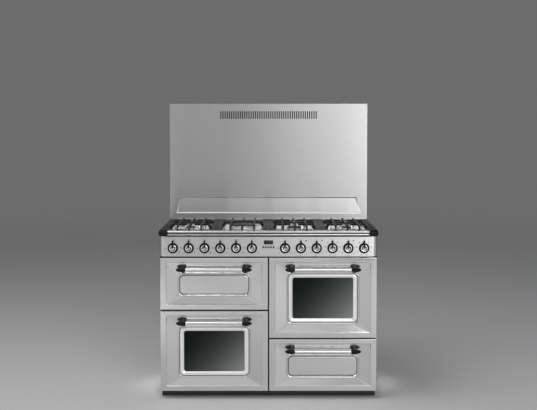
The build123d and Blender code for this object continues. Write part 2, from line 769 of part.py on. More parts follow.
def fan(front):
    """A fan wheel on its shaft."""
    y_wall = Y_INSIDE + CAVITY_DEPTH
    y0 = y_wall - FAN_OFF_WALL
    wheel = rod_y(0, y0 - FAN_SHEET, y0, 0, FAN_RADIUS)
    wheel += rod_y(0, y0 - FAN_HUB[1], y0, 0, FAN_HUB[0])
    length, deep = BLADE
    for i in range(FAN_BLADES):
        blade = block(FAN_RADIUS - length, FAN_RADIUS, y0 - deep, y0 - FAN_SHEET / 2,
                      -FAN_SHEET / 2, FAN_SHEET / 2)
        wheel += Rot(0, 360 * i / FAN_BLADES, 0) * blade
    wheel += rod_y(0, y0 - FAN_SHEET, y_wall + SHEET + SHAFT_IN, 0, SHAFT_RADIUS)
    return Pos(front.x, 0, front.cavity_z) * wheel


def fan_motor(front):
    """The motor behind an oven wall."""
    y0 = Y_INSIDE + CAVITY_DEPTH + SHEET
    motor = rod_y(front.x, y0, y0 + MOTOR_LENGTH, front.cavity_z, MOTOR_RADIUS)
    return motor - rod_y(front.x, y0, y0 + SHAFT_BORE, front.cavity_z, SHAFT_RADIUS + RUN)


def rack(front, share):
    """A wire shelf that rests on a pair of ribs."""
    width, height = front.cavity_size
    half = width / 2 - RACK_SIDE - RACK_ROD
    z = front.cavity_z - height / 2 + share * height + RACK_ROD
    y1 = Y_INSIDE + CAVITY_DEPTH - COVER_DEPTH - 2 * RACK_ROD
    y0 = y1 - RACK_DEPTH
    x0, x1 = front.x - half, front.x + half
    shelf = rod_x(x0, x1, y0, z, RACK_ROD) + rod_x(x0, x1, y1, z, RACK_ROD)
    for x in (x0, x1):
        shelf += rod_y(x, y0, y1, z, RACK_ROD)
        for y in (y0, y1):
            shelf += Pos(x, y, z) * Sphere(RACK_ROD)
    for i in range(1, RACK_WIRES + 1):
        shelf += rod_y(x0 + (x1 - x0) * i / (RACK_WIRES + 1), y0, y1, z, RACK_WIRE)
    return shelf


def grill_pan():
    """The shallow pan on the grill's ribs."""
    width, height = GRILL.cavity_size
    z = GRILL.cavity_z - height / 2 + RIBS_SHORT[0] * height
    half = width / 2 - RACK_SIDE
    y1 = Y_INSIDE + CAVITY_DEPTH - ELEMENT_FRONT / 2
    y0 = y1 - RACK_DEPTH
    pan = block(GRILL.x - half, GRILL.x + half, y0, y1, z, z + PAN_HEIGHT)
    return pan - block(GRILL.x - half + PAN_SHEET, GRILL.x + half - PAN_SHEET, y0 + PAN_SHEET,
                       y1 - PAN_SHEET, z + PAN_SHEET, z + PAN_HEIGHT)


def door_seal(front):
    """The woven seal round one cavity's mouth."""
    inner = grown(front.cavity_size, SEAL_OUT)
    y0 = Y_FRAME - SEAL_GAP + SLIDE
    ring = slab(front.x, front.cavity_z, grown(inner, SEAL_WIDTH), y0, Y_FRAME,
                SEAL_OUT + SEAL_WIDTH)
    return ring - slab(front.x, front.cavity_z, inner, y0, Y_FRAME, SEAL_OUT)


def panel_outline(inset, back):
    """Plan of the control panel with its rounded ends, drawn in by an inset."""
    x, y = X_PANEL - inset, Y_PANEL + inset
    r = PANEL_CORNER - inset
    return make_face(Polyline((-x + r, y), (x - r, y)) + RadiusArc((x - r, y), (x, y + r), -r)
                     + Polyline((x, y + r), (x, back), (-x, back), (-x, y + r))
                     + RadiusArc((-x, y + r), (-x + r, y), -r))


def control_panel():
    """The folded steel panel that the knobs, display and buttons come through."""
    top = Z_PANEL + PANEL_HEIGHT
    panel = extrude(Pos(0, 0, Z_PANEL) * panel_outline(0, Y_INSIDE), amount=PANEL_HEIGHT)
    panel -= extrude(Pos(0, 0, Z_PANEL + PANEL_SHEET) * panel_outline(PANEL_SHEET, Y_INSIDE),
                     amount=PANEL_HEIGHT - 2 * PANEL_SHEET)
    for side in (-1, 1):
        a, b = sorted((side * (X_WALL - LOOSE), side * (X_WALL + SHEET + LOOSE)))
        panel -= block(a, b, Y_SIDE - LOOSE, Y_INSIDE, Z_PANEL, top)
    y1 = Y_PANEL + PANEL_SHEET
    z_button = Z_PANEL_MID + BUTTON_UP
    holes = [rod_y(x, Y_PANEL, y1, Z_KNOB, STEM_HOLE) for x in knob_places()]
    holes += [rod_y(x, Y_PANEL, y1, z_button, BUTTON_RADIUS + SLIDE) for x in button_places()]
    holes.append(slab(0, Z_PANEL_MID + DISPLAY_UP, DISPLAY, Y_PANEL, y1, DISPLAY_CORNER))
    return panel - holes


def knob(x):
    """A knob at rest: black skirt, steel dial with a boss and pointer, and its stem."""
    seat = SKIRT_HEIGHT + KNOB_GAP
    skirt = rod_z(0, 0, KNOB_GAP, seat, SKIRT_RADIUS)
    dial = rod_z(0, 0, seat, DIAL_HEIGHT, DIAL_RADIUS)
    dial = fillet(dial.edges().group_by(Axis.Z)[-1], DIAL_ROUND)
    boss = rod_z(0, 0, seat, BOSS_HEIGHT, BOSS_RADIUS)
    boss = fillet(boss.edges().group_by(Axis.Z)[-1], BOSS_ROUND)
    pointer = block(-POINTER_WIDTH / 2, POINTER_WIDTH / 2, 0, POINTER_TIP, seat, POINTER_HEIGHT)
    bore = rod_z(0, 0, 0, STEM_IN, STEM_RADIUS)
    stem = rod_z(0, 0, -STEM_BACK, STEM_IN, STEM_RADIUS)
    place = Plane(origin=(x, Y_PANEL, Z_KNOB), x_dir=(1, 0, 0), z_dir=(0, -1, 0))
    return [place * (skirt - bore), place * (dial + boss + pointer - bore), place * stem]


def oven_controls():
    """Five switches behind the oven knobs and the programmer behind its window."""
    made = []
    y0 = Y_PANEL + PANEL_SHEET
    width, deep, height = SWITCH
    for x in knob_places()[len(BURNERS):]:
        body = slab(x, Z_KNOB, (width, height), TAP_FRONT, TAP_FRONT + deep)
        body += rod_y(x, y0, TAP_FRONT, Z_KNOB, STEM_HOLE + SHEET)
        made.append(body - rod_y(x, y0, Y_PANEL + STEM_BACK + LOOSE, Z_KNOB, STEM_RADIUS + RUN))
    width, height, deep = PROGRAMMER
    z = Z_PANEL_MID + PROGRAMMER_UP
    case = slab(0, z, (width, height), y0, y0 + deep)
    y_bottom = y0 + BUTTON_LENGTH - BUTTON_OUT + BUTTON_TRAVEL
    for x in button_places():
        case -= rod_y(x, y0, y_bottom, Z_PANEL_MID + BUTTON_UP, BUTTON_COLLAR[0] + SLIDE)
    made.append(case)
    made.append(slab(0, Z_PANEL_MID + DISPLAY_UP, grown(DISPLAY, -RUN), Y_PANEL, y0,
                     DISPLAY_CORNER - RUN))
    return made


def programmer_button(x):
    """A push button with a collar that keeps it behind the panel."""
    z = Z_PANEL_MID + BUTTON_UP
    y_collar = Y_PANEL + PANEL_SHEET + SLIDE
    radius, thick = BUTTON_COLLAR
    pin = rod_y(x, Y_PANEL - BUTTON_OUT, Y_PANEL - BUTTON_OUT + BUTTON_LENGTH, z, BUTTON_RADIUS)
    return pin + rod_y(x, y_collar, y_collar + thick, z, radius)


def gas_rail():
    """The manifold with its taps, clamps, feed tubes and rear inlet."""
    places = knob_places()[:len(BURNERS)]
    x0, x1 = inlet_place(), places[-1] + MANIFOLD_END
    pipe_run = rod_x(x0 - MANIFOLD_RADIUS, x1, Y_MANIFOLD, Z_MANIFOLD, MANIFOLD_RADIUS)
    supply = rod_y(x0, Y_MANIFOLD, Y_BACK + INLET_NUT[1], Z_MANIFOLD, MANIFOLD_RADIUS)
    nut_radius, nut_thick = INLET_NUT
    y_nut = Y_BACK + nut_thick
    hexagon = upright(y_nut) * Pos(x0, Z_MANIFOLD) * RegularPolygon(nut_radius, 6)
    inlet = extrude(hexagon, amount=nut_thick)
    inlet += rod_y(x0, y_nut, y_nut + INLET_LENGTH, Z_MANIFOLD, INLET_RADIUS)
    made = [pipe_run + supply + inlet]
    width, length = TAP
    for x, (column, behind, radius, level) in zip(places, BURNERS):
        z_tap = Z_KNOB + TAP_TOP
        tap = block(x - width / 2, x + width / 2, TAP_FRONT, TAP_FRONT + length, Z_MANIFOLD, z_tap)
        tap += rod_y(x, Y_PANEL + PANEL_SHEET, TAP_FRONT, Z_KNOB, STEM_HOLE + SHEET)
        tap -= rod_y(x, Y_PANEL, Y_PANEL + STEM_BACK + LOOSE, Z_KNOB, STEM_RADIUS + RUN)
        made.append(tap - pipe_run)
        y_tap = TAP_FRONT + length - 2 * TUBE_RADIUS
        end = (support_x(column), Y_FACE + behind)
        points = [(x, y_tap, z_tap), (x, y_tap, level), (*end, level), (*end, CUP_UNDER)]
        made.append(tube_along(points, TUBE_RADIUS, TUBE_BEND))
    half = MANIFOLD_RADIUS
    for x in (places[0] + KNOB_PITCH / 2, places[-1] - KNOB_PITCH / 2):
        clamp = block(x - half, x + half, Y_MANIFOLD - half, Y_MANIFOLD + half,
                      Z_PANEL + PANEL_SHEET, Z_MANIFOLD)
        made.append(clamp - pipe_run)
    return made


def hob_top():
    """The pressed hob sheet with its skirt, rim and sunk well."""
    y0, y1 = Y_HOB, Y_SPLASH
    top = block(-X_HOB, X_HOB, y0, y1, Z_SKIRT, Z_HOB)
    top -= block(-X_HOB + SHEET, X_HOB - SHEET, y0 + SHEET, y1 - SHEET, Z_SKIRT, Z_HOB - SHEET)
    middle = Pos(0, (Y_WELL + Y_WELL_REAR) / 2, Z_WELL)
    size = (2 * X_WELL, Y_WELL_REAR - Y_WELL)
    outer = RectangleRounded(*grown(size, SHEET), WELL_CORNER + SHEET)
    top += Pos(0, 0, -SHEET) * middle * extrude(outer, amount=WELL_DEPTH + SHEET)
    top -= middle * extrude(RectangleRounded(*size, WELL_CORNER), amount=WELL_DEPTH)
    for column, behind, radius, level in BURNERS:
        top -= rod_z(support_x(column), Y_FACE + behind, Z_WELL - SHEET, Z_WELL, radius - CUP_IN + LOOSE)
    return top


def hob_front_rail():
    """The polished double-bead rail along the hob's front."""
    r = RAIL_HEIGHT / 4
    y = Y_HOB - RAIL_REACH + r
    outline = Pos(y, Z_RAIL + r) * Circle(r) + Pos(y, Z_RAIL + 3 * r) * Circle(r)
    outline += Pos((y + Y_HOB) / 2, Z_RAIL + 2 * r) * Rectangle(Y_HOB - y, RAIL_HEIGHT)
    half = HOB_WIDTH / 2 - CAP_LENGTH
    return extrude(Plane.YZ * Pos(0, 0, -half) * outline, amount=2 * half)


def hob_corner_caps():
    """The black rounded corners at both ends of the rail."""
    made = []
    z0, z1 = Z_RAIL - CAP_PROUD, Z_HOB + CAP_PROUD
    for side in (-1, 1):
        a, b = sorted((side * HOB_WIDTH / 2, side * (HOB_WIDTH / 2 - CAP_LENGTH)))
        cap = block(a, b, Y_HOB - RAIL_REACH - CAP_PROUD, Y_HOB + CAP_RETURN, z0, z1)
        cap = fillet(cap.edges().group_by(Axis.Y)[0], CAP_ROUND)
        made.append(cap - block(-X_HOB, X_HOB, Y_HOB, Y_SPLASH, z0, z1))
    return made


def burner_bodies():
    """Each burner's cup, flange and crown in one casting, with an igniter beside it."""
    made = []
    for column, behind, radius, level in BURNERS:
        x, y = support_x(column), Y_FACE + behind
        body = rod_z(x, y, CUP_UNDER, Z_WELL, radius - CUP_IN)
        body += rod_z(x, y, Z_WELL, Z_WELL + FLANGE_THICK, radius + FLANGE_OUT)
        body += rod_z(x, y, Z_WELL + FLANGE_THICK, Z_WELL + CROWN_TOP, radius)
        if radius == BURNER_GIANT:
            trench = rod_z(x, y, Z_WELL + FLANGE_THICK, Z_WELL + CROWN_TOP, WOK_RING_IN)
            body -= trench - rod_z(x, y, Z_WELL + FLANGE_THICK, Z_WELL + CROWN_TOP, WOK_CENTRE)
        made.append(body)
        out = (radius + FLANGE_OUT + IGNITER_RADIUS + IGNITER_GAP) * math.sqrt(0.5)
        made.append(rod_z(x + out, y - out, Z_WELL, Z_WELL + IGNITER_HEIGHT, IGNITER_RADIUS))
    return made


def burner_caps():
    """The black enamelled caps that lie on the crowns."""
    made = []
    for column, behind, radius, level in BURNERS:
        x, y, z = support_x(column), Y_FACE + behind, Z_WELL + CROWN_TOP
        cap = rod_z(x, y, z, z + CAP_THICK, radius - CAP_IN)
        if radius == BURNER_GIANT:
            cap -= rod_z(x, y, z, z + CAP_THICK, WOK_RING_IN + CAP_IN)
            centre = rod_z(x, y, z, z + CAP_THICK, WOK_CENTRE - CAP_IN)
            made.append(fillet(centre.edges().group_by(Axis.Z)[-1], CAP_EDGE))
        made.append(fillet(cap.edges().group_by(Axis.Z)[-1], CAP_EDGE))
    return made


def finger(start, end, across, along_x):
    """A raised finger from a frame edge to its tip; both are places along its run."""
    z0, z1 = Z_SUPPORT - SUPPORT_FRAME, Z_SUPPORT
    top = z1 + FINGER_RISE
    way = math.copysign(1, end - start)
    root = start - way * FINGER_RAMP / 2
    ramp = start + way * FINGER_RAMP
    half = start + way * FINGER_RAMP / 2
    under = top - FINGER_DEEP
    side = Polygon((root, z0), (root, z1), (half, top), (end, top), (end, under), (ramp, under),
                   (half, z0), align=None)
    plane = Plane.XZ if along_x else Plane.YZ
    offset = -across if along_x else across
    return extrude(plane * Pos(0, 0, offset) * side, amount=FINGER_WIDE / 2, both=True)


def pan_support(column):
    """A cast-iron support: flat frame, legs, two long bars and fingers over the burners."""
    xm = support_x(column)
    half = (SUPPORT_PITCH - SUPPORT_GAP) / 2
    y0, y1 = Y_WELL + SUPPORT_GAP, Y_WELL_REAR - SUPPORT_GAP
    z0, z1 = Z_SUPPORT - SUPPORT_FRAME, Z_SUPPORT
    top = z1 + FINGER_RISE
    yf, yr = y0 + SUPPORT_FRONT, y1 - SUPPORT_REAR
    xi = half - SUPPORT_SIDE
    made = block(xm - half, xm + half, y0, y1, z0, z1) - block(xm - xi, xm + xi, yf, yr, z0, z1)
    spots = [(Y_FACE + behind, WOK_FINGER_TIP if radius == BURNER_GIANT else FINGER_TIP)
             for place, behind, radius, level in BURNERS if place == column]
    spots.sort()
    mid = (yf + yr) / 2
    for x in (xm - LONG_BAR, xm + LONG_BAR):
        made += finger(yf, mid, x, False) + finger(yr, mid, x, False)
    for y, tip in spots:
        made += finger(xm - xi, xm - tip, y, True) + finger(xm + xi, xm + tip, y, True)
    made += finger(yf, spots[0][0] - spots[0][1], xm, False)
    made += finger(yr, spots[-1][0] + spots[-1][1], xm, False)
    if len(spots) > 1:
        wide = FINGER_WIDE / 2
        made += block(xm - LONG_BAR, xm + LONG_BAR, mid - wide, mid + wide, top - FINGER_DEEP, top)
        made += block(xm - wide, xm + wide, spots[0][0] + FINGER_TIP, spots[1][0] - FINGER_TIP,
                      top - FINGER_DEEP, top)
    leg = SUPPORT_LEG / 2
    for x in (xm - half + LEG_CLEAR + leg, xm + half - LEG_CLEAR - leg):
        for y in (y0 + LEG_CLEAR + leg, y1 - LEG_CLEAR - leg):
            made += rod_z(x, y, Z_WELL, z0, leg)
    return made


def plate_outline(grow):
    """The trapezoid pressed into the splashback, grown by an amount."""
    z0 = Z_HOB + PLATE_UP
    z1 = z0 + PLATE_HEIGHT
    low, high = PLATE_BOTTOM / 2 + grow, PLATE_TOP / 2 + grow
    return Polygon((-low, z0 - grow), (low, z0 - grow), (high, z1 + grow), (-high, z1 + grow), align=None)


def splashback():
    """The folded panel behind the hob with its vents and pressed plate outline."""
    z0, z1 = Z_LEDGE, Z_HOB + SPLASH_HEIGHT
    back = block(-X_HOB, X_HOB, Y_SPLASH, Y_REAR, z0, z1)
    back -= block(-X_HOB + SHEET, X_HOB - SHEET, Y_SPLASH + SHEET, Y_REAR - SHEET, z0 + SHEET, z1 - SHEET)
    back -= block(-X_HOB + SPLASH_FLANGE, X_HOB - SPLASH_FLANGE, Y_REAR - SHEET, Y_REAR,
                  z0 + SPLASH_FLANGE, z1 - SPLASH_FLANGE)
    y_deep = Y_SPLASH + PLATE_PRESS + SHEET
    back += extrude(upright(y_deep) * plate_outline(SHEET), amount=PLATE_PRESS)
    back -= extrude(upright(Y_SPLASH + PLATE_PRESS) * plate_outline(0), amount=PLATE_PRESS)
    z_vent = z1 - VENT_DROP
    first = -VENT_PITCH * (VENT_SLOTS - 1) / 2
    slots = [slab(first + VENT_PITCH * i, z_vent, VENT_SLOT, Y_SPLASH, Y_SPLASH + SHEET)
             for i in range(VENT_SLOTS)]
    slots += [rod_y(x, Y_REAR - SHEET, Y_REAR, z1 - SPLASH_FLANGE / 2, WALL_HOLE)
              for x in (-WALL_HOLES / 2, WALL_HOLES / 2)]
    return back - slots


def build():
    """Every node of the cooker by name, each as a list of bodies."""
    nodes = {
        "base_frame": [base_frame()],
        "side_panels": side_panels(),
        "back_panel": [back_panel()],
        "front_frame": [front_frame()],
        "plinth": [plinth()],
        "levelling_feet": levelling_feet(),
        "fasteners": fasteners() + [cable_gland()],
        "splashback": [splashback()],
        "hob_top": [hob_top()],
        "hob_front_rail": [hob_front_rail()],
        "hob_corner_caps": hob_corner_caps(),
        "burner_bodies": burner_bodies(),
        "burner_caps": burner_caps(),
        "gas_rail": gas_rail(),
        "control_panel": [control_panel()],
        "oven_controls": oven_controls(),
        "oven_cavities": [cavity(GRILL, RIBS_SHORT, False), cavity(MAIN, RIBS_TALL, True),
                          cavity(SECOND, RIBS_TALL, True), fan_cover(MAIN), fan_cover(SECOND)],
        "heating_elements": [roof_element(front) for front in (GRILL, MAIN, SECOND)],
        "fan_motors": [fan_motor(MAIN), fan_motor(SECOND)],
        "oven_shelves": [rack(MAIN, RIBS_TALL[0]), rack(MAIN, RIBS_TALL[1]), rack(SECOND, RIBS_TALL[0]),
                         rack(SECOND, RIBS_TALL[1]), grill_pan()],
        "door_seals": [door_seal(front) for front in (GRILL, MAIN, SECOND)],
        "hinge_brackets": hinge_brackets(),
        "drawer_slides": drawer_slides(),
        "main_oven_fan": [fan(MAIN)],
        "second_oven_fan": [fan(SECOND)],
        "grill_door_skin": [front_skin(GRILL)],
        "grill_door_liner": [door_liner(GRILL)],
        "grill_door_handle": handle(GRILL),
        "drawer_front": [front_skin(DRAWER, hinged=False)],
        "drawer_box": [drawer_box()],
        "drawer_handle": handle(DRAWER),
    }
    for name, front in (("main_door", MAIN), ("second_door", SECOND)):
        nodes[name + "_skin"] = [front_skin(front, window=True)]
        nodes[name + "_glass"] = door_glass(front)
        nodes[name + "_liner"] = [door_liner(front, window=True)]
        nodes[name + "_handle"] = handle(front)
    for i, x in enumerate(knob_places()):
        gas = i < len(BURNERS)
        nodes[f"gas_knob_{i + 1}" if gas else f"oven_knob_{i + 1 - len(BURNERS)}"] = knob(x)
    for i, x in enumerate(button_places()):
        nodes[f"programmer_button_{i + 1}"] = [programmer_button(x)]
    for column in range(SUPPORTS):
        nodes[f"pan_support_{column + 1}"] = [pan_support(column)]
    return nodes


def main():
    """Write one STEP file for each node."""
    os.makedirs("parts", exist_ok=True)
    for name, bodies in build().items():
        solids = [solid for body in bodies for solid in body.solids()]
        shape = solids[0] if len(solids) == 1 else Compound(solids)
        export_step(shape, f"parts/{name}.step")


if __name__ == "__main__":
    main()
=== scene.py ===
from math import atan2, cos, pi, radians, sin

import bmesh
import bpy
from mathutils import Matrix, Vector


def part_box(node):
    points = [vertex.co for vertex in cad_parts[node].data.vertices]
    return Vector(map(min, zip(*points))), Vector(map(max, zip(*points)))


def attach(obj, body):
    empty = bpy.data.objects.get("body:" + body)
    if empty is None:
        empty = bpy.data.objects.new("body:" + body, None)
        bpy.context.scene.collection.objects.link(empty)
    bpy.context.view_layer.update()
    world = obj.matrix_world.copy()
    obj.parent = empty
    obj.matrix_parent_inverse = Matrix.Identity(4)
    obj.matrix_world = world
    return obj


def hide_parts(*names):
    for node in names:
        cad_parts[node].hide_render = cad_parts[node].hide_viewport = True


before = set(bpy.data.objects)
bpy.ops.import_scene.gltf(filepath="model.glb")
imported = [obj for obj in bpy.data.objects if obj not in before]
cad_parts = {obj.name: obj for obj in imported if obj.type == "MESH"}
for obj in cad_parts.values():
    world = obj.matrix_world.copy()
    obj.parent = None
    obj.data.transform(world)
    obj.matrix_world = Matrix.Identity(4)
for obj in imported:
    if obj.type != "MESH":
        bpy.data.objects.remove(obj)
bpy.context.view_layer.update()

bpy.ops.object.select_all(action="DESELECT")


# Levelling feet and corner caps
# The cooker stands on four moulded feet on threaded studs. The black caps that close the ends
# of the hob rail come from the same glass-filled plastic, with a fine spark-eroded grain.
class Tone:
    """A value in a finish's nodes. Sums and products of tones add the nodes that work them out."""

    def __init__(self, socket):
        self.socket = socket

    def node(self, kind, settings, sockets, out=0):
        """Adds a node beside this tone and gives back one of its outputs."""
        tree = self.socket.id_data
        made = tree.nodes.new(kind)
        for setting, value in settings.items():
            setattr(made, setting, value)
        for name, value in sockets.items():
            if isinstance(value, Tone):
                tree.links.new(value.socket, made.inputs[name])
            else:
                made.inputs[name].default_value = value
        return Tone(made.outputs[out])

    def into(self, shader, name):
        self.socket.id_data.links.new(self.socket, shader.inputs[name])

    def maths(self, operation, first, second):
        return self.node("ShaderNodeMath", {"operation": operation}, {0: first, 1: second})

    def __add__(self, other):
        return self.maths("ADD", self, other)

    def __radd__(self, other):
        return self.maths("ADD", other, self)

    def __sub__(self, other):
        return self.maths("SUBTRACT", self, other)

    def __rsub__(self, other):
        return self.maths("SUBTRACT", other, self)

    def __mul__(self, other):
        return self.maths("MULTIPLY", self, other)

    def __rmul__(self, other):
        return self.maths("MULTIPLY", other, self)

    def __pow__(self, other):
        return self.maths("POWER", self, other)


def finish(name, **constants):
    """A new finish: its material, its shader and the place on the piece as a tone."""
    material = bpy.data.materials.new(name)
    material.use_nodes = True
    tree = material.node_tree
    shader = tree.nodes["Principled BSDF"]
    for socket, value in constants.items():
        shader.inputs[socket.replace("_", " ")].default_value = value
    return material, shader, Tone(tree.nodes.new("ShaderNodeTexCoord").outputs["Object"])


def cloud(place, scale, detail=2.0, stretch=(1, 1, 1)):
    """Soft noise over a piece, drawn out along its axes by stretch."""
    if stretch != (1, 1, 1):
        place = place.node("ShaderNodeMapping", {}, {"Vector": place, "Scale": stretch})
    return place.node("ShaderNodeTexNoise", {}, {"Vector": place, "Scale": scale, "Detail": detail})


def coordinate(place, axis):
    """One coordinate of a place."""
    return place.node("ShaderNodeSeparateXYZ", {}, {0: place}, axis)


def blended(factor, low, high):
    """A colour between two others."""
    return factor.node("ShaderNodeMix", {"data_type": "RGBA"}, {0: factor, 6: low, 7: high}, 2)


def embossed(height, depth, strength, shader):
    """Turns a tone into fine relief on the finish."""
    height.node("ShaderNodeBump", {}, {"Strength": strength, "Distance": depth,
                                       "Height": height}).into(shader, "Normal")


def dress(material, *names):
    """Gives CAD pieces their finish."""
    for name in names:
        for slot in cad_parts[name].material_slots:
            slot.material = material


moulded_black, shader, place = finish("moulded_black", Specular_IOR_Level=0.14)
blended(cloud(place, 14), (0.005, 0.005, 0.006, 1), (0.011, 0.011, 0.012, 1)).into(shader, "Base Color")
(0.30 + 0.14 * cloud(place, 60)).into(shader, "Roughness")
embossed(cloud(place, 1400), 0.0002, 0.08, shader)
dress(moulded_black, "levelling_feet", "hob_corner_caps", "oven_controls")


# Base frame, back panel, drawer runners and other hidden steelwork
# Folded from zinc-coated sheet, spot welded and screwed. The coating has crystals a few
# millimetres across that catch the light differently, and it has dulled unevenly.
zinc_sheet, shader, place = finish("zinc_sheet", Metallic=0.9)
crystal = place.node("ShaderNodeTexVoronoi", {}, {"Vector": place, "Scale": 130.0}, 1)
flake = crystal.node("ShaderNodeSeparateColor", {}, {0: crystal})
blended(flake * 0.6 + 0.4 * cloud(place, 5), (0.36, 0.37, 0.38, 1),
        (0.60, 0.61, 0.62, 1)).into(shader, "Base Color")
(0.34 + 0.2 * flake).into(shader, "Roughness")
embossed(cloud(place, 300), 0.0003, 0.1, shader)
dress(zinc_sheet, "base_frame", "back_panel", "fasteners", "drawer_slides", "fan_motors",
      "hinge_brackets")


# Side panels, drawer box and door liners
# Plain rolled stainless sheet, less polished than the fronts. The rolling leaves long faint
# lines in the metal, and handling leaves it slightly cloudy.
def rolled_steel(name, low, high, rough, along, line=1500.0, relief=0.00001, wave=0.0, spread=0.0,
                 groove_shade_depth=None, surround=None):
    """Stainless sheet with fine lines along one axis, a cloudy polish and a slight wave. Where the
    lines are brushed in deeply they spread reflections upwards and downwards. Grooves that
    lie behind a depth get painted shade: a dark colour and a higher roughness. A surround, given
    by its middle and half sizes in X and Z and the radius of its corners, gets a painted highlight:
    a near-white colour and half the metallic weight."""
    material, shader, place = finish(name, Metallic=1.0, Anisotropic=spread, Anisotropic_Rotation=0.25)
    lines = cloud(place, 1.0, 3.0, tuple(5.0 if axis == along else line for axis in "XYZ"))
    smear = cloud(place, 3.5)
    tint = blended(0.7 * smear + 0.3 * lines, low, high)
    polish = rough + 0.06 * (smear - 0.5) + 0.10 * (lines - 0.5)
    # Painted highlight: inside the surround the colour is near-white and the metallic weight halves.
    if surround:
        middle_x, middle_z, half_x, half_z, corner = surround
        reach = []
        for axis, middle, half in (("X", middle_x, half_x), ("Z", middle_z, half_z)):
            offset = coordinate(place, axis) - middle
            past = offset.maths("ABSOLUTE", offset, 0.0) - (half - corner)
            reach.append(past.maths("MAXIMUM", past, 0.0))
        edge = (reach[0] * reach[0] + reach[1] * reach[1]) ** 0.5
        surround_highlight = edge.node("ShaderNodeMapRange", {}, {
            "Value": edge, "From Min": corner + 0.0004, "From Max": corner - 0.0004})
        tint = blended(surround_highlight, tint, (0.95, 0.95, 0.955, 1))
        (1.0 - 0.5 * surround_highlight).into(shader, "Metallic")
    # Painted shade: beyond the given depth the colour turns dark and the roughness rises.
    if groove_shade_depth:
        depth = coordinate(place, "Y")
        groove_shade = depth.node("ShaderNodeMapRange", {}, {
            "Value": depth, "From Min": groove_shade_depth, "From Max": groove_shade_depth + 0.0008})
        tint = blended(groove_shade, tint, (0.07, 0.07, 0.072, 1))
        polish = polish + 0.25 * groove_shade
    tint.into(shader, "Base Color")
    polish.into(shader, "Roughness")
    embossed(relief * lines + wave * cloud(place, 4.0, 1.0), 1.0, 1.0, shader)
    return material


dull_sheet = rolled_steel("dull_sheet", (0.44, 0.445, 0.45, 1), (0.54, 0.545, 0.55, 1), 0.36, "Z")
dress(dull_sheet, "side_panels", "drawer_box", "grill_door_liner", "main_door_liner",
      "second_door_liner", "main_oven_fan", "second_oven_fan")


# Front frame and plinth
# The welded frame that the doors close on and the plinth under them are baked black paint,
# with the slight orange peel of a sprayed coat.
black_coat, shader, place = finish("black_coat", Coat_Weight=0.15, Coat_Roughness=0.25)
blended(cloud(place, 9), (0.010, 0.010, 0.011, 1), (0.018, 0.018, 0.019, 1)).into(shader, "Base Color")
(0.36 + 0.14 * cloud(place, 40)).into(shader, "Roughness")
embossed(cloud(place, 450, 1.0), 0.0004, 0.08, shader)
dress(black_coat, "front_frame", "plinth")


# Oven cavities and fan covers
# Pressed steel boxes in fired enamel, nearly black with pale specks, and glossy where the
# enamel pooled. They hang from the front frame.
fired_enamel, shader, place = finish("fired_enamel", Coat_Weight=0.4, Coat_Roughness=0.12)
speck = place.node("ShaderNodeTexVoronoi", {}, {"Vector": place, "Scale": 420.0})
grains = speck.node("ShaderNodeMapRange", {}, {"Value": speck, "From Min": 0.10, "From Max": 0.22,
                                               "To Min": 1.0, "To Max": 0.0})
patch = cloud(place, 90)
sparse = grains * patch.node("ShaderNodeMapRange", {}, {"Value": patch, "From Min": 0.52, "From Max": 0.6})
blended(sparse, (0.016, 0.017, 0.021, 1), (0.34, 0.36, 0.40, 1)).into(shader, "Base Color")
(0.16 + 0.16 * cloud(place, 25)).into(shader, "Roughness")
embossed(cloud(place, 160), 0.0006, 0.12, shader)
dress(fired_enamel, "oven_cavities")


# Heating elements, shelves and door seals
# Sheathed elements gone brown with heat, bright plated wire shelves with a grill pan, and
# woven seals that the doors press on.
heated_sheath, shader, place = finish("heated_sheath", Metallic=0.8)
blended(cloud(place, 30, 4.0), (0.10, 0.085, 0.075, 1), (0.26, 0.24, 0.23, 1)).into(shader, "Base Color")
(0.38 + 0.2 * cloud(place, 80)).into(shader, "Roughness")
embossed(cloud(place, 500), 0.0003, 0.2, shader)
dress(heated_sheath, "heating_elements")

bright_plate, shader, place = finish("bright_plate", Metallic=1.0)
blended(cloud(place, 24), (0.62, 0.62, 0.63, 1), (0.76, 0.76, 0.77, 1)).into(shader, "Base Color")
(0.12 + 0.14 * cloud(place, 50)).into(shader, "Roughness")
dress(bright_plate, "oven_shelves")

woven_seal, shader, place = finish("woven_seal", Sheen_Weight=0.2)
strand = place.node("ShaderNodeTexWave", {"bands_direction": "DIAGONAL"}, {
    "Vector": place, "Scale": 260.0, "Distortion": 1.5})
blended(strand, (0.035, 0.035, 0.036, 1), (0.12, 0.12, 0.12, 1)).into(shader, "Base Color")
(0.7 + 0.2 * strand).into(shader, "Roughness")
embossed(strand, 0.0008, 0.5, shader)
dress(woven_seal, "door_seals")


# Hob top and its front rail
# One sheet of stainless steel pressed into a well that runs the width of the hob, brushed
# front to back and smoother under each pan support. There it has painted light, a near-white,
# partly diffuse colour; elsewhere its dark colour is painted shade. A drawn rail with two polished
# beads is fixed along its front edge.
hob_steel, shader, place = finish("hob_steel")
brushed = cloud(place, 1.0, 3.0, (1200.0, 5.0, 1200.0))
support_pitch = 0.2675
across = coordinate(place, "X")
cell = across.maths("MODULO", across.maths("ABSOLUTE", across, 0.0), support_pitch) - support_pitch / 2
aside = cell.maths("ABSOLUTE", cell, 0.0)
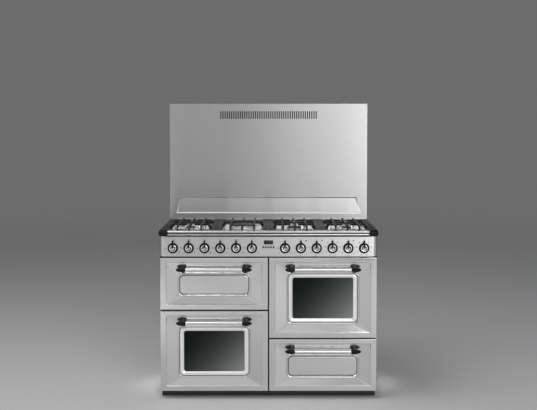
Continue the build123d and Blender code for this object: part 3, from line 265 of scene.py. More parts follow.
# Painted light under each pan support: the mask turns the colour near-white and lowers the metallic weight;
# outside it the dark colour is painted shade.
polish = aside.node("ShaderNodeMapRange", {}, {"Value": aside, "From Min": 0.1040, "From Max": 0.0960})
blended(0.75 * polish + 0.25 * brushed, (0.07, 0.07, 0.071, 1),
        (0.94, 0.94, 0.945, 1)).into(shader, "Base Color")
(0.42 - 0.31 * polish + 0.04 * brushed).into(shader, "Roughness")
(1.0 - 0.55 * polish).into(shader, "Metallic")
embossed(brushed, 0.00002, 0.2, shader)
dress(hob_steel, "hob_top")
rail_steel = rolled_steel("rail_steel", (0.64, 0.64, 0.645, 1), (0.70, 0.70, 0.705, 1), 0.16, "X",
                          2200.0, 0.0)
dress(rail_steel, "hob_front_rail")


# Gas rail and its taps
# Brass pipe, taps and unions behind the control panel, warm yellow and darker where the
# heat and fingers have marked them.
tap_brass, shader, place = finish("tap_brass", Metallic=1.0)
tarnish = cloud(place, 22, 4.0)
blended(tarnish, (0.56, 0.40, 0.16, 1), (0.36, 0.24, 0.10, 1)).into(shader, "Base Color")
(0.22 + 0.25 * tarnish).into(shader, "Roughness")
dress(tap_brass, "gas_rail")


# Burners
# Each burner is a cast aluminium crown with flame slots round its side, a flange on the hob
# and a black enamelled cap. A ceramic igniter with a steel tip stands beside it.
def turned(name, centre, axis, profile, sides=48):
    """A turned piece: a disc drawn out along an axis through steps of distance and radius."""
    way, middle = Vector(axis), Vector(centre)
    bpy.ops.object.select_all(action="DESELECT")
    bpy.ops.mesh.primitive_circle_add(vertices=sides, radius=profile[0][1], fill_type="NGON",
                                      location=middle + way * profile[0][0],
                                      rotation=way.to_track_quat("Z", "Y").to_euler())
    piece = bpy.context.object
    piece.name = piece.data.name = name
    bpy.ops.object.transform_apply()
    bpy.ops.object.mode_set(mode="EDIT")
    bpy.ops.mesh.select_all(action="SELECT")
    for (along, radius), (onward, wider) in zip(profile, profile[1:]):
        bpy.ops.mesh.extrude_region_move(TRANSFORM_OT_translate={"value": way * (onward - along)})
        bpy.ops.transform.resize(value=[1.0 if abs(part) > 0.5 else wider / radius for part in way],
                                 center_override=middle + way * onward)
    bpy.ops.mesh.select_all(action="SELECT")
    bpy.ops.mesh.normals_make_consistent(inside=False)
    bpy.ops.object.mode_set(mode="OBJECT")
    bpy.ops.object.shade_smooth_by_angle(angle=radians(38))
    return piece


def pick(test):
    """Selects the faces of the piece being edited whose centre and normal pass a test."""
    bpy.ops.mesh.select_mode(type="FACE")
    bpy.ops.mesh.select_all(action="DESELECT")
    mesh = bmesh.from_edit_mesh(bpy.context.object.data)
    for face in mesh.faces:
        face.select_set(test(face.calc_center_median(), face.normal))
    bmesh.update_edit_mesh(bpy.context.object.data)


def joined(name, pieces):
    """One piece made of several."""
    bpy.ops.object.select_all(action="DESELECT")
    for piece in pieces:
        piece.select_set(True)
    bpy.context.view_layer.objects.active = pieces[0]
    bpy.ops.object.join()
    pieces[0].name = pieces[0].data.name = name
    return pieces[0]


def fit(piece, body, slot, material, *stands_for):
    """Gives a finished piece its material, the body it rides on and the CAD pieces it stands for."""
    piece.data.materials.clear()
    piece.data.materials.append(material)
    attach(piece, body)
    if stands_for:
        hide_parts(*stands_for)


cast_aluminium, shader, place = finish("cast_aluminium", Metallic=1.0)
blended(cloud(place, 60), (0.50, 0.50, 0.51, 1), (0.64, 0.64, 0.65, 1)).into(shader, "Base Color")
(0.34 + 0.16 * cloud(place, 120)).into(shader, "Roughness")
embossed(cloud(place, 900), 0.0003, 0.25, shader)

cap_enamel, shader, place = finish("cap_enamel", Specular_IOR_Level=0.4)
blended(cloud(place, 40), (0.010, 0.010, 0.010, 1), (0.022, 0.022, 0.023, 1)).into(shader, "Base Color")
(0.42 + 0.16 * cloud(place, 70)).into(shader, "Roughness")
embossed(cloud(place, 700), 0.0003, 0.2, shader)
dress(cap_enamel, "burner_caps")

igniter_ceramic, shader, place = finish("igniter_ceramic", Coat_Weight=0.5, Coat_Roughness=0.1)
blended(cloud(place, 200), (0.74, 0.73, 0.70, 1), (0.84, 0.83, 0.81, 1)).into(shader, "Base Color")
(0.25 + 0.1 * cloud(place, 300)).into(shader, "Roughness")

below_well = 0.0175
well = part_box("burner_bodies")[0].z + below_well
face_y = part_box("grill_door_skin")[0].y
crowns, sticks, tips = [], [], []
for x, behind, radius, slots in ((-0.40125, 0.385, 0.036, 24), (-0.40125, 0.165, 0.026, 18),
                                 (-0.13375, 0.275, 0.064, 40), (0.13375, 0.385, 0.036, 24),
                                 (0.13375, 0.165, 0.036, 24), (0.40125, 0.385, 0.048, 30),
                                 (0.40125, 0.165, 0.026, 18)):
    y = face_y + behind
    profile = [(-0.0170, radius - 0.0085), (0.0001, radius - 0.0085), (0.0001, radius + 0.0050),
               (0.0016, radius + 0.0050), (0.0023, radius + 0.0040), (0.0026, radius + 0.0010),
               (0.0034, radius - 0.0006), (0.0090, radius - 0.0004), (0.0098, radius),
               (0.0112, radius - 0.0006), (0.0119, radius - 0.0020)]
    if radius > 0.06:
        profile += [(0.0119, 0.0360), (0.0112, 0.0344), (0.0036, 0.0340), (0.0032, 0.0226), (0.0036, 0.0216),
                    (0.0090, 0.0216), (0.0110, 0.0220), (0.0119, 0.0205)]
    crown = turned("crown", (x, y, well), (0, 0, 1), profile, 2 * slots)
    bpy.ops.object.mode_set(mode="EDIT")
    band = {}
    mesh = bmesh.from_edit_mesh(crown.data)
    for face in mesh.faces:
        spot = face.calc_center_median() - Vector((x, y, well))
        if 0.0058 < spot.z < 0.0066 and spot.length > radius - 0.004:
            band[face.index] = atan2(spot.y, spot.x)
    chosen = set(sorted(band, key=band.get)[::2])
    bpy.ops.mesh.select_mode(type="FACE")
    bpy.ops.mesh.select_all(action="DESELECT")
    for face in mesh.faces:
        face.select_set(face.index in chosen)
    bmesh.update_edit_mesh(crown.data)
    bpy.ops.mesh.inset(thickness=0.0006, depth=0.0, use_individual=True)
    bpy.ops.mesh.inset(thickness=0.0001, depth=-0.0030, use_individual=True)
    bpy.ops.object.mode_set(mode="OBJECT")
    bpy.ops.object.shade_smooth_by_angle(angle=radians(30))
    crowns.append(crown)
    out = (radius + 0.012) * 0.5 ** 0.5
    sticks.append(turned("stick", (x + out, y - out, well), (0, 0, 1), [
        (0.0001, 0.0030), (0.0030, 0.0030), (0.0038, 0.0024), (0.0076, 0.0022), (0.0086, 0.0014)], 20))
    tips.append(turned("tip", (x + out, y - out, well), (0, 0, 1), [
        (0.0076, 0.0009), (0.0112, 0.0009), (0.0119, 0.0004)], 12))
fit(joined("burner_crowns", crowns), "cooker", "aluminium", cast_aluminium, "burner_bodies")
fit(joined("burner_igniters", sticks), "cooker", "aluminium", igniter_ceramic, "burner_bodies")
fit(joined("burner_igniter_tips", tips), "cooker", "bright_wire", bright_plate, "burner_bodies")


# Pan supports
# Four heavy castings in grey iron under a matt black enamel. The enamel follows the sand
# grain of the mould.
enamelled_iron, shader, place = finish("enamelled_iron", Specular_IOR_Level=0.28)
blended(cloud(place, 35, 4.0), (0.005, 0.005, 0.005, 1), (0.014, 0.014, 0.014, 1)).into(shader, "Base Color")
(0.45 + 0.2 * cloud(place, 90)).into(shader, "Roughness")
embossed(cloud(place, 650, 3.0), 0.0006, 0.35, shader)
dress(enamelled_iron, "pan_support_1", "pan_support_2", "pan_support_3", "pan_support_4")


# Splashback
# A folded stainless panel behind the hob, brushed across to a satin finish. A long plate is
# pressed into it above the hob, and a black sheet behind its vent slots is painted shade there.
def bar(name, low, high, edge, segments=3):
    """A bar between two corners with rounded edges."""
    bpy.ops.object.select_all(action="DESELECT")
    low, high = Vector(low), Vector(high)
    bpy.ops.mesh.primitive_cube_add(size=1, location=(low + high) / 2, scale=high - low)
    piece = bpy.context.object
    piece.name = piece.data.name = name
    bpy.ops.object.transform_apply()
    bpy.ops.object.mode_set(mode="EDIT")
    bpy.ops.mesh.select_all(action="SELECT")
    bpy.ops.mesh.bevel(offset=edge, segments=segments, affect="EDGES")
    bpy.ops.object.mode_set(mode="OBJECT")
    bpy.ops.object.shade_smooth_by_angle(angle=radians(50))
    return piece


def finished(piece, kind, **settings):
    """Adds a modifier to a piece and applies it."""
    bpy.ops.object.select_all(action="DESELECT")
    piece.select_set(True)
    bpy.context.view_layer.objects.active = piece
    modifier = piece.modifiers.new(kind.lower(), kind)
    for setting, value in settings.items():
        setattr(modifier, setting, value)
    bpy.ops.object.modifier_apply(modifier=modifier.name)
    return piece


satin_sheet = rolled_steel("satin_sheet", (0.46, 0.46, 0.463, 1), (0.50, 0.50, 0.503, 1), 0.34, "X", 1500.0,
                           spread=0.9)
plate_sheet = rolled_steel("plate_sheet", (0.60, 0.60, 0.603, 1), (0.64, 0.64, 0.643, 1), 0.34, "X", 1500.0,
                           spread=0.9)
dress(satin_sheet, "splashback")
splash_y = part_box("splashback")[0].y
plate_height, plate_foot, plate_head, plate_z = 0.096, 1.029, 0.982, 0.932
bpy.ops.object.select_all(action="DESELECT")
bpy.ops.mesh.primitive_plane_add(size=plate_height, location=(0, splash_y - 0.0002, plate_z),
                                 rotation=(pi / 2, 0, 0))
plate = bpy.context.object
plate.name = plate.data.name = "splash_plate"
bpy.ops.object.transform_apply()
bpy.ops.object.mode_set(mode="EDIT")
bpy.ops.mesh.select_all(action="SELECT")
bpy.ops.transform.resize(value=(plate_foot / plate_height, 1, 1), center_override=(0, splash_y, plate_z))
bpy.ops.mesh.select_mode(type="EDGE")
bpy.ops.mesh.select_all(action="DESELECT")
mesh = bmesh.from_edit_mesh(plate.data)
for edge in mesh.edges:
    edge.select_set(all(point.co.z > plate_z for point in edge.verts))
bmesh.update_edit_mesh(plate.data)
bpy.ops.transform.resize(value=(plate_head / plate_foot, 1, 1), center_override=(0, splash_y, plate_z))
bpy.ops.mesh.select_mode(type="FACE")
bpy.ops.mesh.select_all(action="SELECT")
for thickness, depth in ((0.0020, 0.0), (0.0012, -0.0003), (0.0046, -0.0022), (0.0012, -0.0003)):
    bpy.ops.mesh.inset(thickness=thickness, depth=depth)
bpy.ops.object.mode_set(mode="OBJECT")
finished(plate, "SOLIDIFY", thickness=0.0001, offset=-1.0)
bpy.ops.object.shade_smooth_by_angle(angle=radians(40))
finished(plate, "WEIGHTED_NORMAL", keep_sharp=True, weight=60)
fit(plate, "cooker", "satin_steel", plate_sheet)

# A black sheet behind the vent slots: painted shade where the slots show only shadow.
shade_sheet = bar("vent_shade_sheet", (-0.276, splash_y + 0.0015, 1.404), (0.276, splash_y + 0.0120, 1.460), 0.0008, 1)
bpy.ops.object.mode_set(mode="EDIT")
pick(lambda centre, normal: normal.y < -0.99)
bpy.ops.mesh.inset(thickness=0.0012, depth=0.0)
bpy.ops.mesh.inset(thickness=0.0004, depth=-0.0088)
bpy.ops.object.mode_set(mode="OBJECT")
fit(shade_sheet, "cooker", "black_paint", black_coat)


# Hob trims and shadow strips
# Moulded black caps close the ends of the hob rail and painted strips cover the hob's side edges.
# Black rubber-like strips lie between the beads of the rail, under the rail and under the control panel, as
# painted shade in those gaps.
trim_inner, trim_outer, trim_foot, trim_top = 0.5352, 0.5468, 0.8535, 0.8552
rail_low, rail_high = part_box("hob_front_rail")
cap_low, cap_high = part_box("hob_corner_caps")
for side, word in ((-1, "left"), (1, "right")):
    near, far = sorted((side * cap_high.x, side * (rail_high.x - 0.008)))
    cap = bar(f"hob_cap_{word}", (near, cap_low.y, cap_low.z), (far, cap_high.y, cap_high.z), 0.0125, 6)
    fit(cap, "cooker", "black_plastic", moulded_black, "hob_corner_caps")
    near, far = sorted((side * trim_inner, side * trim_outer))
    trim = bar(f"hob_trim_{word}", (near, cap_high.y - 0.004, trim_foot),
               (far, splash_y - 0.0004, trim_top), 0.0006, 2)
    fit(trim, "cooker", "black_paint", black_coat)
# Black strips in the gaps of the rail and under the control panel: painted shade where those gaps lie in
# shadow.
middle = (rail_low.z + rail_high.z) / 2
gap_shadows = [bar("seal", (rail_low.x, rail_low.y + 0.0005, middle - 0.0033),
             (rail_high.x, rail_low.y + 0.0080, middle + 0.0033), 0.0005, 2),
         bar("seal", (rail_low.x, rail_low.y + 0.0030, rail_low.z - 0.0046),
             (rail_high.x, rail_high.y, rail_low.z + 0.0008), 0.0008, 2)]
panel_low, panel_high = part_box("control_panel")
door_top = max(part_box(name)[1].z for name in ("grill_door_skin", "second_door_skin"))
gap_shadows.append(bar("seal", (panel_low.x + 0.0040, panel_low.y + 0.0004, door_top + 0.0003),
                 (panel_high.x - 0.0040, panel_low.y + 0.0060, panel_low.z + 0.0004), 0.0003, 1))
gap_shadow_rubber, shader, place = finish("gap_shadow_rubber", Specular_IOR_Level=0.25)
blended(cloud(place, 30), (0.008, 0.008, 0.008, 1), (0.016, 0.016, 0.016, 1)).into(shader, "Base Color")
(0.55 + 0.2 * cloud(place, 80)).into(shader, "Roughness")
embossed(cloud(place, 900), 0.0002, 0.2, shader)
fit(joined("rail_gap_shadows", gap_shadows), "cooker", "seal", gap_shadow_rubber)


# Control panel
# One folded strip of brushed stainless steel with rounded ends, its lines running along it.
# Scales are printed on it in black, and a lit clock, five buttons and three lamps come through.
panel_steel = rolled_steel("panel_steel", (0.60, 0.60, 0.605, 1), (0.68, 0.68, 0.685, 1), 0.32, "X", 1700.0,
                           spread=0.7)
dress(panel_steel, "control_panel")
dress(moulded_black, *[f"programmer_button_{i + 1}" for i in range(5)])

panel_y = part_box("control_panel")[0].y
knob_names = [f"gas_knob_{i + 1}" for i in range(7)] + [f"oven_knob_{i + 1}" for i in range(5)]
skirt_radius = 0.0265
knob_places = [(sum(corner.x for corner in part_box(name)) / 2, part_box(name)[0].z + skirt_radius)
               for name in knob_names]


def copied(piece, name, shift, turn=0.0):
    """A copy of a piece with its own mesh, moved by a shift and turned upright by quarter turns."""
    bpy.ops.object.select_all(action="DESELECT")
    piece.select_set(True)
    bpy.context.view_layer.objects.active = piece
    bpy.ops.object.duplicate(linked=False)
    copy = bpy.context.object
    copy.name = copy.data.name = name
    copy.location, copy.rotation_euler.y = shift, turn
    bpy.ops.object.transform_apply()
    return copy


# Clock digits: seven bars each, with their ends pointed
glow, shader, place = finish("clock_glow", Base_Color=(0.02, 0.02, 0.02, 1), Emission_Strength=0.16)
blended(cloud(place, 400), (0.62, 0.72, 0.74, 1), (0.80, 0.88, 0.88, 1)).into(shader, "Emission Color")
clock_z = 0.795
stroke = bar("stroke", (-0.0020, panel_y - 0.00025, -0.0005), (0.0020, panel_y - 0.0001, 0.0005), 0.00006, 1)
bpy.ops.object.mode_set(mode="EDIT")
pick(lambda centre, normal: abs(normal.x) > 0.9)
bpy.ops.mesh.extrude_region_shrink_fatten(TRANSFORM_OT_shrink_fatten={"value": 0.0004})
bpy.ops.transform.resize(value=(1, 1, 0.2), center_override=(0, panel_y, 0))
bpy.ops.object.mode_set(mode="OBJECT")
strokes = {"a": (0, 0.0046, 0), "b": (0.0023, 0.0023, pi / 2), "c": (0.0023, -0.0023, pi / 2),
           "d": (0, -0.0046, 0), "e": (-0.0023, -0.0023, pi / 2), "f": (-0.0023, 0.0023, pi / 2),
           "g": (0, 0, 0)}
lit = []
for x, lines in ((-0.0140, "bc"), (-0.0055, "abdeg"), (0.0055, "abcdgf"), (0.0140, "abcdef")):
    for letter in lines:
        across, up, turn = strokes[letter]
        lit.append(copied(stroke, "stroke_" + letter, (x + across, 0, clock_z + up), turn))
for up in (-0.0020, 0.0020):
    lit.append(turned("colon", (0, panel_y, clock_z + up), (0, -1, 0), [
        (0.0001, 0.0006), (0.0003, 0.0005)], 12))
bpy.data.objects.remove(stroke)
fit(joined("clock_digits", lit), "cooker", "dark_glass", glow)

# Lamps: small domed lenses beside the three oven knobs that set a temperature
thermostats, lamp_z = (7, 8, 10), 0.8040
lens, shader, place = finish("lamp_lens", Coat_Weight=0.8, Coat_Roughness=0.05)
blended(cloud(place, 300), (0.030, 0.012, 0.004, 1), (0.055, 0.020, 0.006, 1)).into(shader, "Base Color")
(0.18 + 0.1 * cloud(place, 250)).into(shader, "Roughness")
lamps = [turned("lamp", (knob_places[knob][0] + 0.0260, panel_y, lamp_z), (0, -1, 0), [
    (-0.0010, 0.0034), (0.0004, 0.0034), (0.0010, 0.0029), (0.0014, 0.0017), (0.0015, 0.0003)], 24)
    for knob in thermostats]
fit(joined("panel_lamps", lamps), "cooker", "black_plastic", lens)


# Printed scales: dots, ticks, flames and plain numbers round the knobs
print_y = panel_y - 0.00003
button_z, button_pitch = 0.7700, 0.0128
first_tick, tick_turn = 0.62, 0.215


def dot(x, z, radius, points=16):
    """Prints a dot, or a shape with a few corners."""
    bpy.ops.mesh.primitive_circle_add(vertices=points, radius=radius, fill_type="NGON",
                                      location=(x, print_y, z), rotation=(pi / 2, 0, 0))


def dash(x, z, length, width, turn):
    """Prints a dash, turned clockwise from upright."""
    spot = (x, print_y, z)
    bpy.ops.mesh.primitive_plane_add(size=length, location=spot, rotation=(pi / 2, 0, 0))
    bpy.ops.transform.resize(value=(width / length, 1, 1), center_override=spot)
    bpy.ops.transform.rotate(value=-turn, orient_axis="Y", center_override=spot)


def number(words, x, z, size):
    """Prints a number as a piece of its own."""
    bpy.ops.object.select_all(action="DESELECT")
    bpy.ops.object.text_add(location=(x, print_y, z), rotation=(pi / 2, 0, 0))
    text = bpy.context.object
    text.data.body, text.data.size = words, size
    text.data.align_x, text.data.align_y = "CENTER", "CENTER"
    bpy.ops.object.convert(target="MESH")
    bpy.ops.object.transform_apply()
    return bpy.context.object


bpy.ops.object.select_all(action="DESELECT")
bpy.ops.mesh.primitive_plane_add(size=0.0001, location=(0, print_y, knob_places[0][1]), rotation=(pi / 2, 0, 0))
scale_marks = bpy.context.object
bpy.ops.object.transform_apply()
bpy.ops.object.mode_set(mode="EDIT")
bpy.ops.mesh.select_all(action="SELECT")
bpy.ops.mesh.delete(type="VERT")
for index, (x, z) in enumerate(knob_places):
    if index < 7:
        for row, column in ((0, 0), (0, 1), (1, 0), (1, 1)):
            picked = (row, column) == (index % 2, index // 2 % 2)
            dot(x - 0.0390 + 0.0044 * column, z - 0.0022 + 0.0044 * row, 0.0021 if picked else 0.0012)
        dot(x, z + 0.0425, 0.0013)
        for turn, size in ((2.25, 0.0042), (3.95, 0.0026)):
            fx, fz = x + 0.0385 * sin(turn), z + 0.0385 * cos(turn)
            dot(fx, fz, size * 0.55)
            dash(fx, fz + size * 0.75, size * 1.2, size * 0.55, 0.25)
    elif index in thermostats:
        dot(x, z + 0.0425, 0.0013)
        for step in range(21):
            turn = first_tick + step * tick_turn
            long = step % 4 == 0
            reach = 0.0352 if long else 0.0346
            length, width = (0.0042, 0.0016) if long else (0.0026, 0.0009)
            dash(x + reach * sin(turn), z + reach * cos(turn), length, width, turn)
    else:
        for step in range(9):
            turn = step * 2 * pi / 9
            reach = 0.0372
            sx, sz = x + reach * sin(turn), z + reach * cos(turn)
            if step == 0:
                dot(sx, sz + 0.0050, 0.0013)
            elif step % 3 == 0:
                dot(sx, sz, 0.0025, 6)
            elif step % 3 == 1:
                dash(sx, sz + 0.0014, 0.0013, 0.0050, 0)
                dash(sx, sz - 0.0014, 0.0013, 0.0050, 0)
            else:
                dash(sx, sz, 0.0044, 0.0044, 0)
for button in range(5):
    x = (button - 2) * button_pitch
    for spoke in range(8):
        turn = spoke * pi / 4
        dash(x + 0.0045 * sin(turn), button_z + 0.0045 * cos(turn), 0.0012, 0.0036, turn)
    dot(x, button_z + 0.0090, 0.0022 if button % 2 else 0.0016, 5 if button % 2 else 12)
    dash(x, button_z + 0.0068, 0.0012, 0.0046 if button % 2 else 0.0024, 0)
bpy.ops.object.mode_set(mode="OBJECT")
printed = [scale_marks]
for index in thermostats:
    x, z = knob_places[index]
    for step, words in ((4, "100"), (8, "150"), (12, "200"), (16, "250")):
        turn = first_tick + step * tick_turn
        printed.append(number(words, x + 0.0415 * sin(turn), z + 0.0405 * cos(turn), 0.0058))
joined("panel_scales", printed)
bpy.ops.object.mode_set(mode="EDIT")
bpy.ops.mesh.select_all(action="SELECT")
bpy.ops.mesh.extrude_region_move(TRANSFORM_OT_translate={"value": (0, -0.00007, 0)})
bpy.ops.mesh.select_all(action="SELECT")
bpy.ops.mesh.normals_make_consistent(inside=False)
bpy.ops.object.mode_set(mode="OBJECT")
fit(scale_marks, "cooker", "black_paint", black_coat)


# Knobs
# Each knob is turned in two pieces: a black skirt that stands just off the panel and a steel
# dial with a boss. A black pointer bar runs from the front of the boss out over the skirt's edge.
knob_x, knob_z = knob_places[0]
centre = (knob_x, panel_y, knob_z)
skirt = turned("knob_skirt", centre, (0, -1, 0), [
    (0.0006, 0.0250), (0.0010, 0.0259), (0.0022, skirt_radius), (0.0060, 0.0263), (0.0076, 0.0254),
    (0.0085, 0.0240), (0.0086, 0.0218), (0.0086, 0.0175), (0.0103, 0.0162), (0.0104, 0.0060)], 64)
# The dial steps back round the boss, so the skirt's black face shows there as a dark ring: painted shade in the
# gap between boss and dial.
dial = turned("knob_dial", centre, (0, -1, 0), [
    (0.0078, 0.0178), (0.0118, 0.0178), (0.0130, 0.0174), (0.0136, 0.0164), (0.0136, 0.0150),
    (0.0130, 0.0118), (0.0120, 0.0110), (0.0090, 0.0107), (0.0089, 0.0086), (0.0100, 0.0083),
    (0.0215, 0.0082), (0.0235, 0.0078), (0.0247, 0.0066), (0.0250, 0.0050), (0.0246, 0.0024),
    (0.0246, 0.0008)], 64)
pointer = bar("knob_pointer", (knob_x - 0.0040, panel_y - 0.0209, knob_z + 0.0020),
              (knob_x + 0.0040, panel_y - 0.0088, knob_z + 0.0389), 0.0010)
line = bar("knob_line", (knob_x - 0.0034, panel_y - 0.0253, knob_z + 0.0006),
           (knob_x + 0.0034, panel_y - 0.0200, knob_z + 0.0086), 0.0003, 1)
pointer = joined("knob_pointer", [pointer, line])

dial_steel, shader, place = finish("dial_steel", Metallic=1.0)
blended(cloud(place, 30), (0.62, 0.62, 0.625, 1), (0.72, 0.72, 0.725, 1)).into(shader, "Base Color")
(0.20 + 0.12 * cloud(place, 90)).into(shader, "Roughness")
for name, (x, z) in zip(knob_names, knob_places):
    shift = (x - knob_x, 0, 0)
    fit(copied(skirt, name + "_skirt", shift), name, "black_plastic", moulded_black, name)
    fit(copied(dial, name + "_dial", shift), name, "polished_steel", dial_steel, name)
    fit(copied(pointer, name + "_pointer", shift), name, "black_plastic", moulded_black, name)
for pattern in (skirt, dial, pointer):
    bpy.data.objects.remove(pattern)


# Door and drawer fronts
# Each front is pressed from polished stainless sheet: a flat rim, a bevel that falls back on all
# four sides and a rounded bead round the floor. The grooves beside the beads are painted dark as shade, and
# oven fronts have a rolled frame for the glass with a painted highlight.
def outline(x, y, z, width, height, corner):
    """Draws one rounded outline, upright at depth y, and keeps it as a group of points."""
    bpy.ops.mesh.primitive_plane_add(size=1, location=(x, y, z), rotation=(pi / 2, 0, 0))
    bpy.ops.transform.resize(value=(width, 1, height), center_override=(x, y, z))
    bpy.ops.mesh.bevel(offset=corner, segments=8, affect="VERTICES")
    bpy.ops.object.vertex_group_assign_new()
    bpy.ops.mesh.delete(type="ONLY_FACE")


def pressed_front(name, node, window, hinged):
    """One pressed front inside the box of its CAD piece."""
    low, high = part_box(node)
    x, y, z = (low.x + high.x) / 2, low.y, (low.z + high.z) / 2
    width, height = high.x - low.x, high.z - low.z
    sill = 0.0670 if window else 0.0625
    # Each step in from the edge: sides, top and bottom insets, corner radius and depth
    steps = [(0.022, 0.022, 0.036, 0.0015, 0.0212), (0.0015, 0.0015, 0.0015, 0.0015, 0.0216),
             (0.0, 0.0, 0.0, 0.002, 0.0205), (0.0, 0.0, 0.0, 0.002, 0.0024),
             (0.0007, 0.0007, 0.0007, 0.002, 0.0007), (0.0024, 0.0024, 0.0024, 0.002, 0.0003),
             (0.0284, 0.0224, 0.0240, 0.0018, 0.0), (0.0291, 0.0231, 0.0243, 0.0020, 0.0002),
             (0.0296, 0.0236, 0.0246, 0.0022, 0.0008), (0.0303, 0.0243, 0.0249, 0.0025, 0.0028),
             (0.0308, 0.0248, 0.0252, 0.0027, 0.0034), (0.0318, 0.0258, 0.0256, 0.0032, 0.0037),
             (0.0840, 0.0730, sill - 0.0018, 0.0275, 0.0088)]
    # The bead: distance in from its foot and depth, then the rolled frame or the floor inside it
    bead = [(0.0, 0.0090), (0.0008, 0.0074), (0.0020, 0.0058), (0.0034, 0.0049), (0.0046, 0.0047)]
    if window:
        bead += [(0.0060, 0.0052), (0.0070, 0.0066), (0.0080, 0.0100), (0.0088, 0.0121), (0.0098, 0.0124),
                 (0.0108, 0.0112), (0.0122, 0.0078), (0.0148, 0.0055), (0.0172, 0.0047), (0.0196, 0.0046),
                 (0.0224, 0.0052), (0.0252, 0.0064), (0.0276, 0.0078), (0.0296, 0.0090), (0.0309, 0.0097),
                 (0.0314, 0.0099)]
        upper, lower, round_off = 0.86, 0.98, 0.55
    else:
        bead += [(0.0062, 0.0052), (0.0078, 0.0066), (0.0094, 0.0092), (0.0108, 0.0118), (0.0116, 0.0125),
                 (0.0126, 0.0124), (0.0138, 0.0118), (0.0154, 0.0115), (0.0200, 0.0114)]
        upper, lower, round_off = 1.30, 1.25, 0.70
    for inward, depth in bead:
        steps.append((0.086 + inward, 0.075 + upper * inward, sill + lower * inward,
                      0.0285 - round_off * inward, depth))
    rings = steps[:1]
    for step in steps[1:]:
        last = rings[-1]
        parts = max(1, round(abs(step[0] - last[0]) / 0.009))
        rings += [[a + (b - a) * part / parts for a, b in zip(last, step)] for part in range(1, parts + 1)]
    bpy.ops.object.select_all(action="DESELECT")
    bpy.ops.mesh.primitive_plane_add(size=1)
    front = bpy.context.object
    front.name = front.data.name = name
    bpy.ops.object.mode_set(mode="EDIT")
    bpy.ops.mesh.select_all(action="SELECT")
    bpy.ops.mesh.delete(type="VERT")
    bpy.ops.mesh.select_mode(type="VERT")
    for side, top, bottom, corner, depth in rings:
        bpy.ops.mesh.select_all(action="DESELECT")
        outline(x, y + depth, z + (bottom - top) / 2, width - 2 * side, height - top - bottom, corner)
    for ring in range(len(rings) - 1):
        bpy.ops.mesh.select_all(action="DESELECT")
        for group in (ring, ring + 1):
            front.vertex_groups.active_index = group
            bpy.ops.object.vertex_group_select()
        bpy.ops.mesh.bridge_edge_loops()
    if not window:
        bpy.ops.mesh.select_all(action="DESELECT")
        front.vertex_groups.active_index = len(rings) - 1
        bpy.ops.object.vertex_group_select()
        bpy.ops.mesh.edge_face_add()
    bpy.ops.mesh.select_all(action="SELECT")
    bpy.ops.mesh.normals_make_consistent(inside=False)
    mesh = bmesh.from_edit_mesh(front.data)
    face = min(mesh.faces, key=lambda one: one.calc_center_median().y)
    if face.normal.y > 0:
        bpy.ops.mesh.flip_normals()
    bpy.ops.object.vertex_group_remove(all=True)
    bpy.ops.object.mode_set(mode="OBJECT")
    finished(front, "SOLIDIFY", thickness=0.0006, offset=-1.0)
    if hinged:
        for hinge in (x - 0.2105, x + 0.2105):
            notch = bar("notch", (hinge - 0.011, y + 0.005, low.z - 0.004),
                        (hinge + 0.011, y + 0.030, low.z + 0.036), 0.001, 1)
            finished(front, "BOOLEAN", operation="DIFFERENCE", object=notch)
            bpy.data.objects.remove(notch)
    bpy.ops.object.select_all(action="DESELECT")
    front.select_set(True)
    bpy.context.view_layer.objects.active = front
    bpy.ops.object.shade_smooth_by_angle(angle=radians(40))
    finished(front, "WEIGHTED_NORMAL", keep_sharp=True, weight=60)
    return front


def front_steel(name, surround=None):
    """Polished sheet with painted shade in the grooves round the beads and, round a glass, a painted highlight
    on the surround.
    """
    return rolled_steel(name, (0.68, 0.68, 0.685, 1), (0.76, 0.76, 0.765, 1), 0.17, "X", 2200.0, 0.000004,
                        0.0007, groove_shade_depth=face_y + 0.0116, surround=surround)


pressed_steel = front_steel("pressed_steel")
surround_side, surround_ends, surround_drop, surround_corner = 0.0968, 0.0810, 0.0033, 0.0226
for name, node, body, window, hinged in (
        ("grill_door_front", "grill_door_skin", "grill_door", False, True),
        ("main_door_front", "main_door_skin", "main_door", True, True),
        ("second_door_front", "second_door_skin", "second_door", True, True),
        ("drawer_panel", "drawer_front", "drawer", False, False)):
    steel = pressed_steel
    if window:
        low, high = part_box(node)
        steel = front_steel(name + "_steel", (
            (low.x + high.x) / 2, (low.z + high.z) / 2 - surround_drop,
            (high.x - low.x) / 2 - surround_side, (high.z - low.z) / 2 - surround_ends, surround_corner))
    fit(pressed_front(name, node, window, hinged), body, "polished_steel", steel, node)


# Oven glass
# Two panes in each oven door, one held behind the rolled frame of the front and one at the liner.
# They are tinted nearly black, and painted light makes them paler towards the lower right corner.
for name in ("main_door_glass", "second_door_glass"):
    low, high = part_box(name)
    oven_glass, shader, place = finish(name + "_tint", Alpha=0.88, Specular_IOR_Level=0.15)
    across = place.node("ShaderNodeMapRange", {}, {
        "Value": coordinate(place, "X"), "From Min": low.x, "From Max": high.x})
    downward = place.node("ShaderNodeMapRange", {}, {
        "Value": coordinate(place, "Z"), "From Min": high.z, "From Max": low.z})
    # Painted light: the colour grows paler towards the lower right corner of each pane.
    painted_glass_light = (0.62 * across + 0.42 * downward) ** 2.8
    blended(painted_glass_light, (0.002, 0.003, 0.003, 1), (0.300, 0.316, 0.310, 1)).into(shader, "Base Color")
    (0.04 + 0.06 * cloud(place, 8)).into(shader, "Roughness")
    dress(oven_glass, name)


